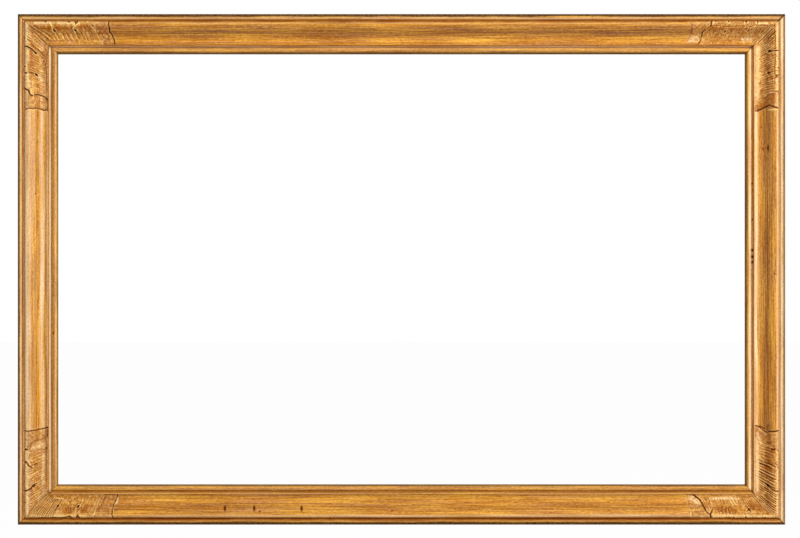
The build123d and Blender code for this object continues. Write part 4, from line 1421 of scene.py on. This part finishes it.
def makeKey(node, finish, glue):
    mesh = frame["nodes"][node].data
    coords = np.empty(3 * len(mesh.vertices))
    mesh.vertices.foreach_get("co", coords)
    coords = coords.reshape(-1, 3)
    flush = np.unique(np.round(coords[coords[:, 1] > coords[:, 1].max() - 1e-5][:, (0, 2)], 6), axis=0) / mm
    middle = flush.mean(axis=0)
    order = np.argsort(np.arctan2(flush[:, 1] - middle[1], flush[:, 0] - middle[0]))
    outline = ringOf(flush[order], keys["step"])
    outward = outline - middle
    outward /= np.linalg.norm(outward, axis=1, keepdims=True)
    wave = softNoise(outline[:, 0] / 4, outline[:, 1] / 4, 31)[:, None]
    spread = keys["glueWidth"] * (1 + 0.6 * wave)
    rings = [
        (outline - outward * keys["bevel"], keys["proud"]),
        (outline - outward * 0.08, keys["proud"] - keys["bevel"] * 0.6),
        (outline - outward * 0.02, keys["glueHeight"]),
        (outline + outward * spread * 0.45, keys["glueHeight"] * 0.7),
        (outline + outward * spread, -0.05),
        (outline - outward * 0.3, -keys["depth"]),
    ]
    count, last = len(outline), len(rings) - 1
    verts = [(x * mm, backY + h * mm, z * mm) for ring, h in rings for x, z in ring]
    faces, finishes = [tuple(range(count))], [0]
    for r in range(last):
        for i in range(count):
            j = (i + 1) % count
            faces.append((r * count + i, (r + 1) * count + i, (r + 1) * count + j, r * count + j))
            finishes.append(1 if r in (2, 3) else 0)
    faces.append(tuple(last * count + i for i in reversed(range(count))))
    finishes.append(0)
    data = bpy.data.meshes.new(node.replace("corner_", "let_in_"))
    data.from_pydata(verts, [], faces)
    data.materials.append(finish)
    data.materials.append(glue)
    data.polygons.foreach_set("material_index", finishes)
    work = bmesh.new()
    work.from_mesh(data)
    bmesh.ops.recalc_face_normals(work, faces=work.faces)
    work.to_mesh(data)
    work.free()
    settle(addObject(data.name, data), "bare_wood", node)


# Felt pads that keep the frame off the wall

pads = {"radius": 7.0, "thickness": 5.0, "edge": 0.9, "sides": 72, "rough": 0.09}


def makePad(node, finish):
    low, high = (np.array(corner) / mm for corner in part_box(node))
    cx, cz = (low[0] + high[0]) / 2, (low[2] + high[2]) / 2
    r, t, e, sides = pads["radius"], pads["thickness"], pads["edge"], pads["sides"]
    profile = [(0.0, 0.0), (r * 0.5, 0.0), (r - 0.15, 0.0), (r, 0.2), (r + 0.12, t * 0.5), (r, t - e)]
    profile += [(r - e * (1 - math.cos(a)), t - e + e * math.sin(a)) for a in (0.4, 0.8, 1.2, math.pi / 2)]
    profile += [(r * share, t) for share in (0.72, 0.56, 0.4, 0.24, 0.1)] + [(0.0, t)]
    work = bmesh.new()
    rings = []
    for i, (radius, h) in enumerate(profile):
        ring = []
        for k in range(sides if radius else 1):
            a = math.tau * k / sides
            fuzz = pads["rough"] * softNoise(a * 9, i * 1.7, 41) * (h > 0.1) * (radius > 0)
            x, z = cx + (radius + fuzz) * math.cos(a), cz + (radius + fuzz) * math.sin(a)
            ring.append(work.verts.new((x * mm, backY + min(h + 0.5 * fuzz, t) * mm, z * mm)))
        rings.append(ring)
    for a, b in zip(rings, rings[1:]):
        for k in range(sides):
            n = (k + 1) % sides
            corners = [a[k % len(a)], a[n % len(a)], b[n % len(b)], b[k % len(b)]]
            work.faces.new(list(dict.fromkeys(corners)))
    bmesh.ops.recalc_face_normals(work, faces=work.faces)
    for face in work.faces:
        face.smooth = True
    mesh = bpy.data.meshes.new(node.replace("wall_pad", "felt_pad"))
    work.to_mesh(mesh)
    work.free()
    mesh.materials.append(finish)
    piece = addObject(mesh.name, mesh)
    settle(piece, "felt", node)


makeCamera()
makeWorld()
makeLamps()
makeFloor()
print("stage done")

streakTree, grainTree = streakGroup(), grainGroup()
giltFinish = giltMaterial()
backFinish = woodMaterial("agedWood", alongRail, 1.0, wood["rings"])
for side in railPlan:
    buildRail(side, giltFinish, backFinish)

keyFinish, glueFinish = woodMaterial("keyWood", alongKey, wood["keyShade"], wood["keyRings"]), glueMaterial()
for node in [name for name in frame["nodes"] if name.startswith("corner_key_")]:
    makeKey(node, keyFinish, glueFinish)
feltFinish = feltMaterial()
for node in ("wall_pad_left", "wall_pad_right"):
    makePad(node, feltFinish)
makeFasteners(metalMaterial("darkSteel"))
brassFinish = metalMaterial("oldBrass")
for name, piece in frame["nodes"].items():
    if name.startswith(("turn_button_", "hanger_strap_", "hanger_ring_")) and name != "turn_button_screws":
        for place in piece.material_slots:
            place.material = brassFinish
print("hardware done")
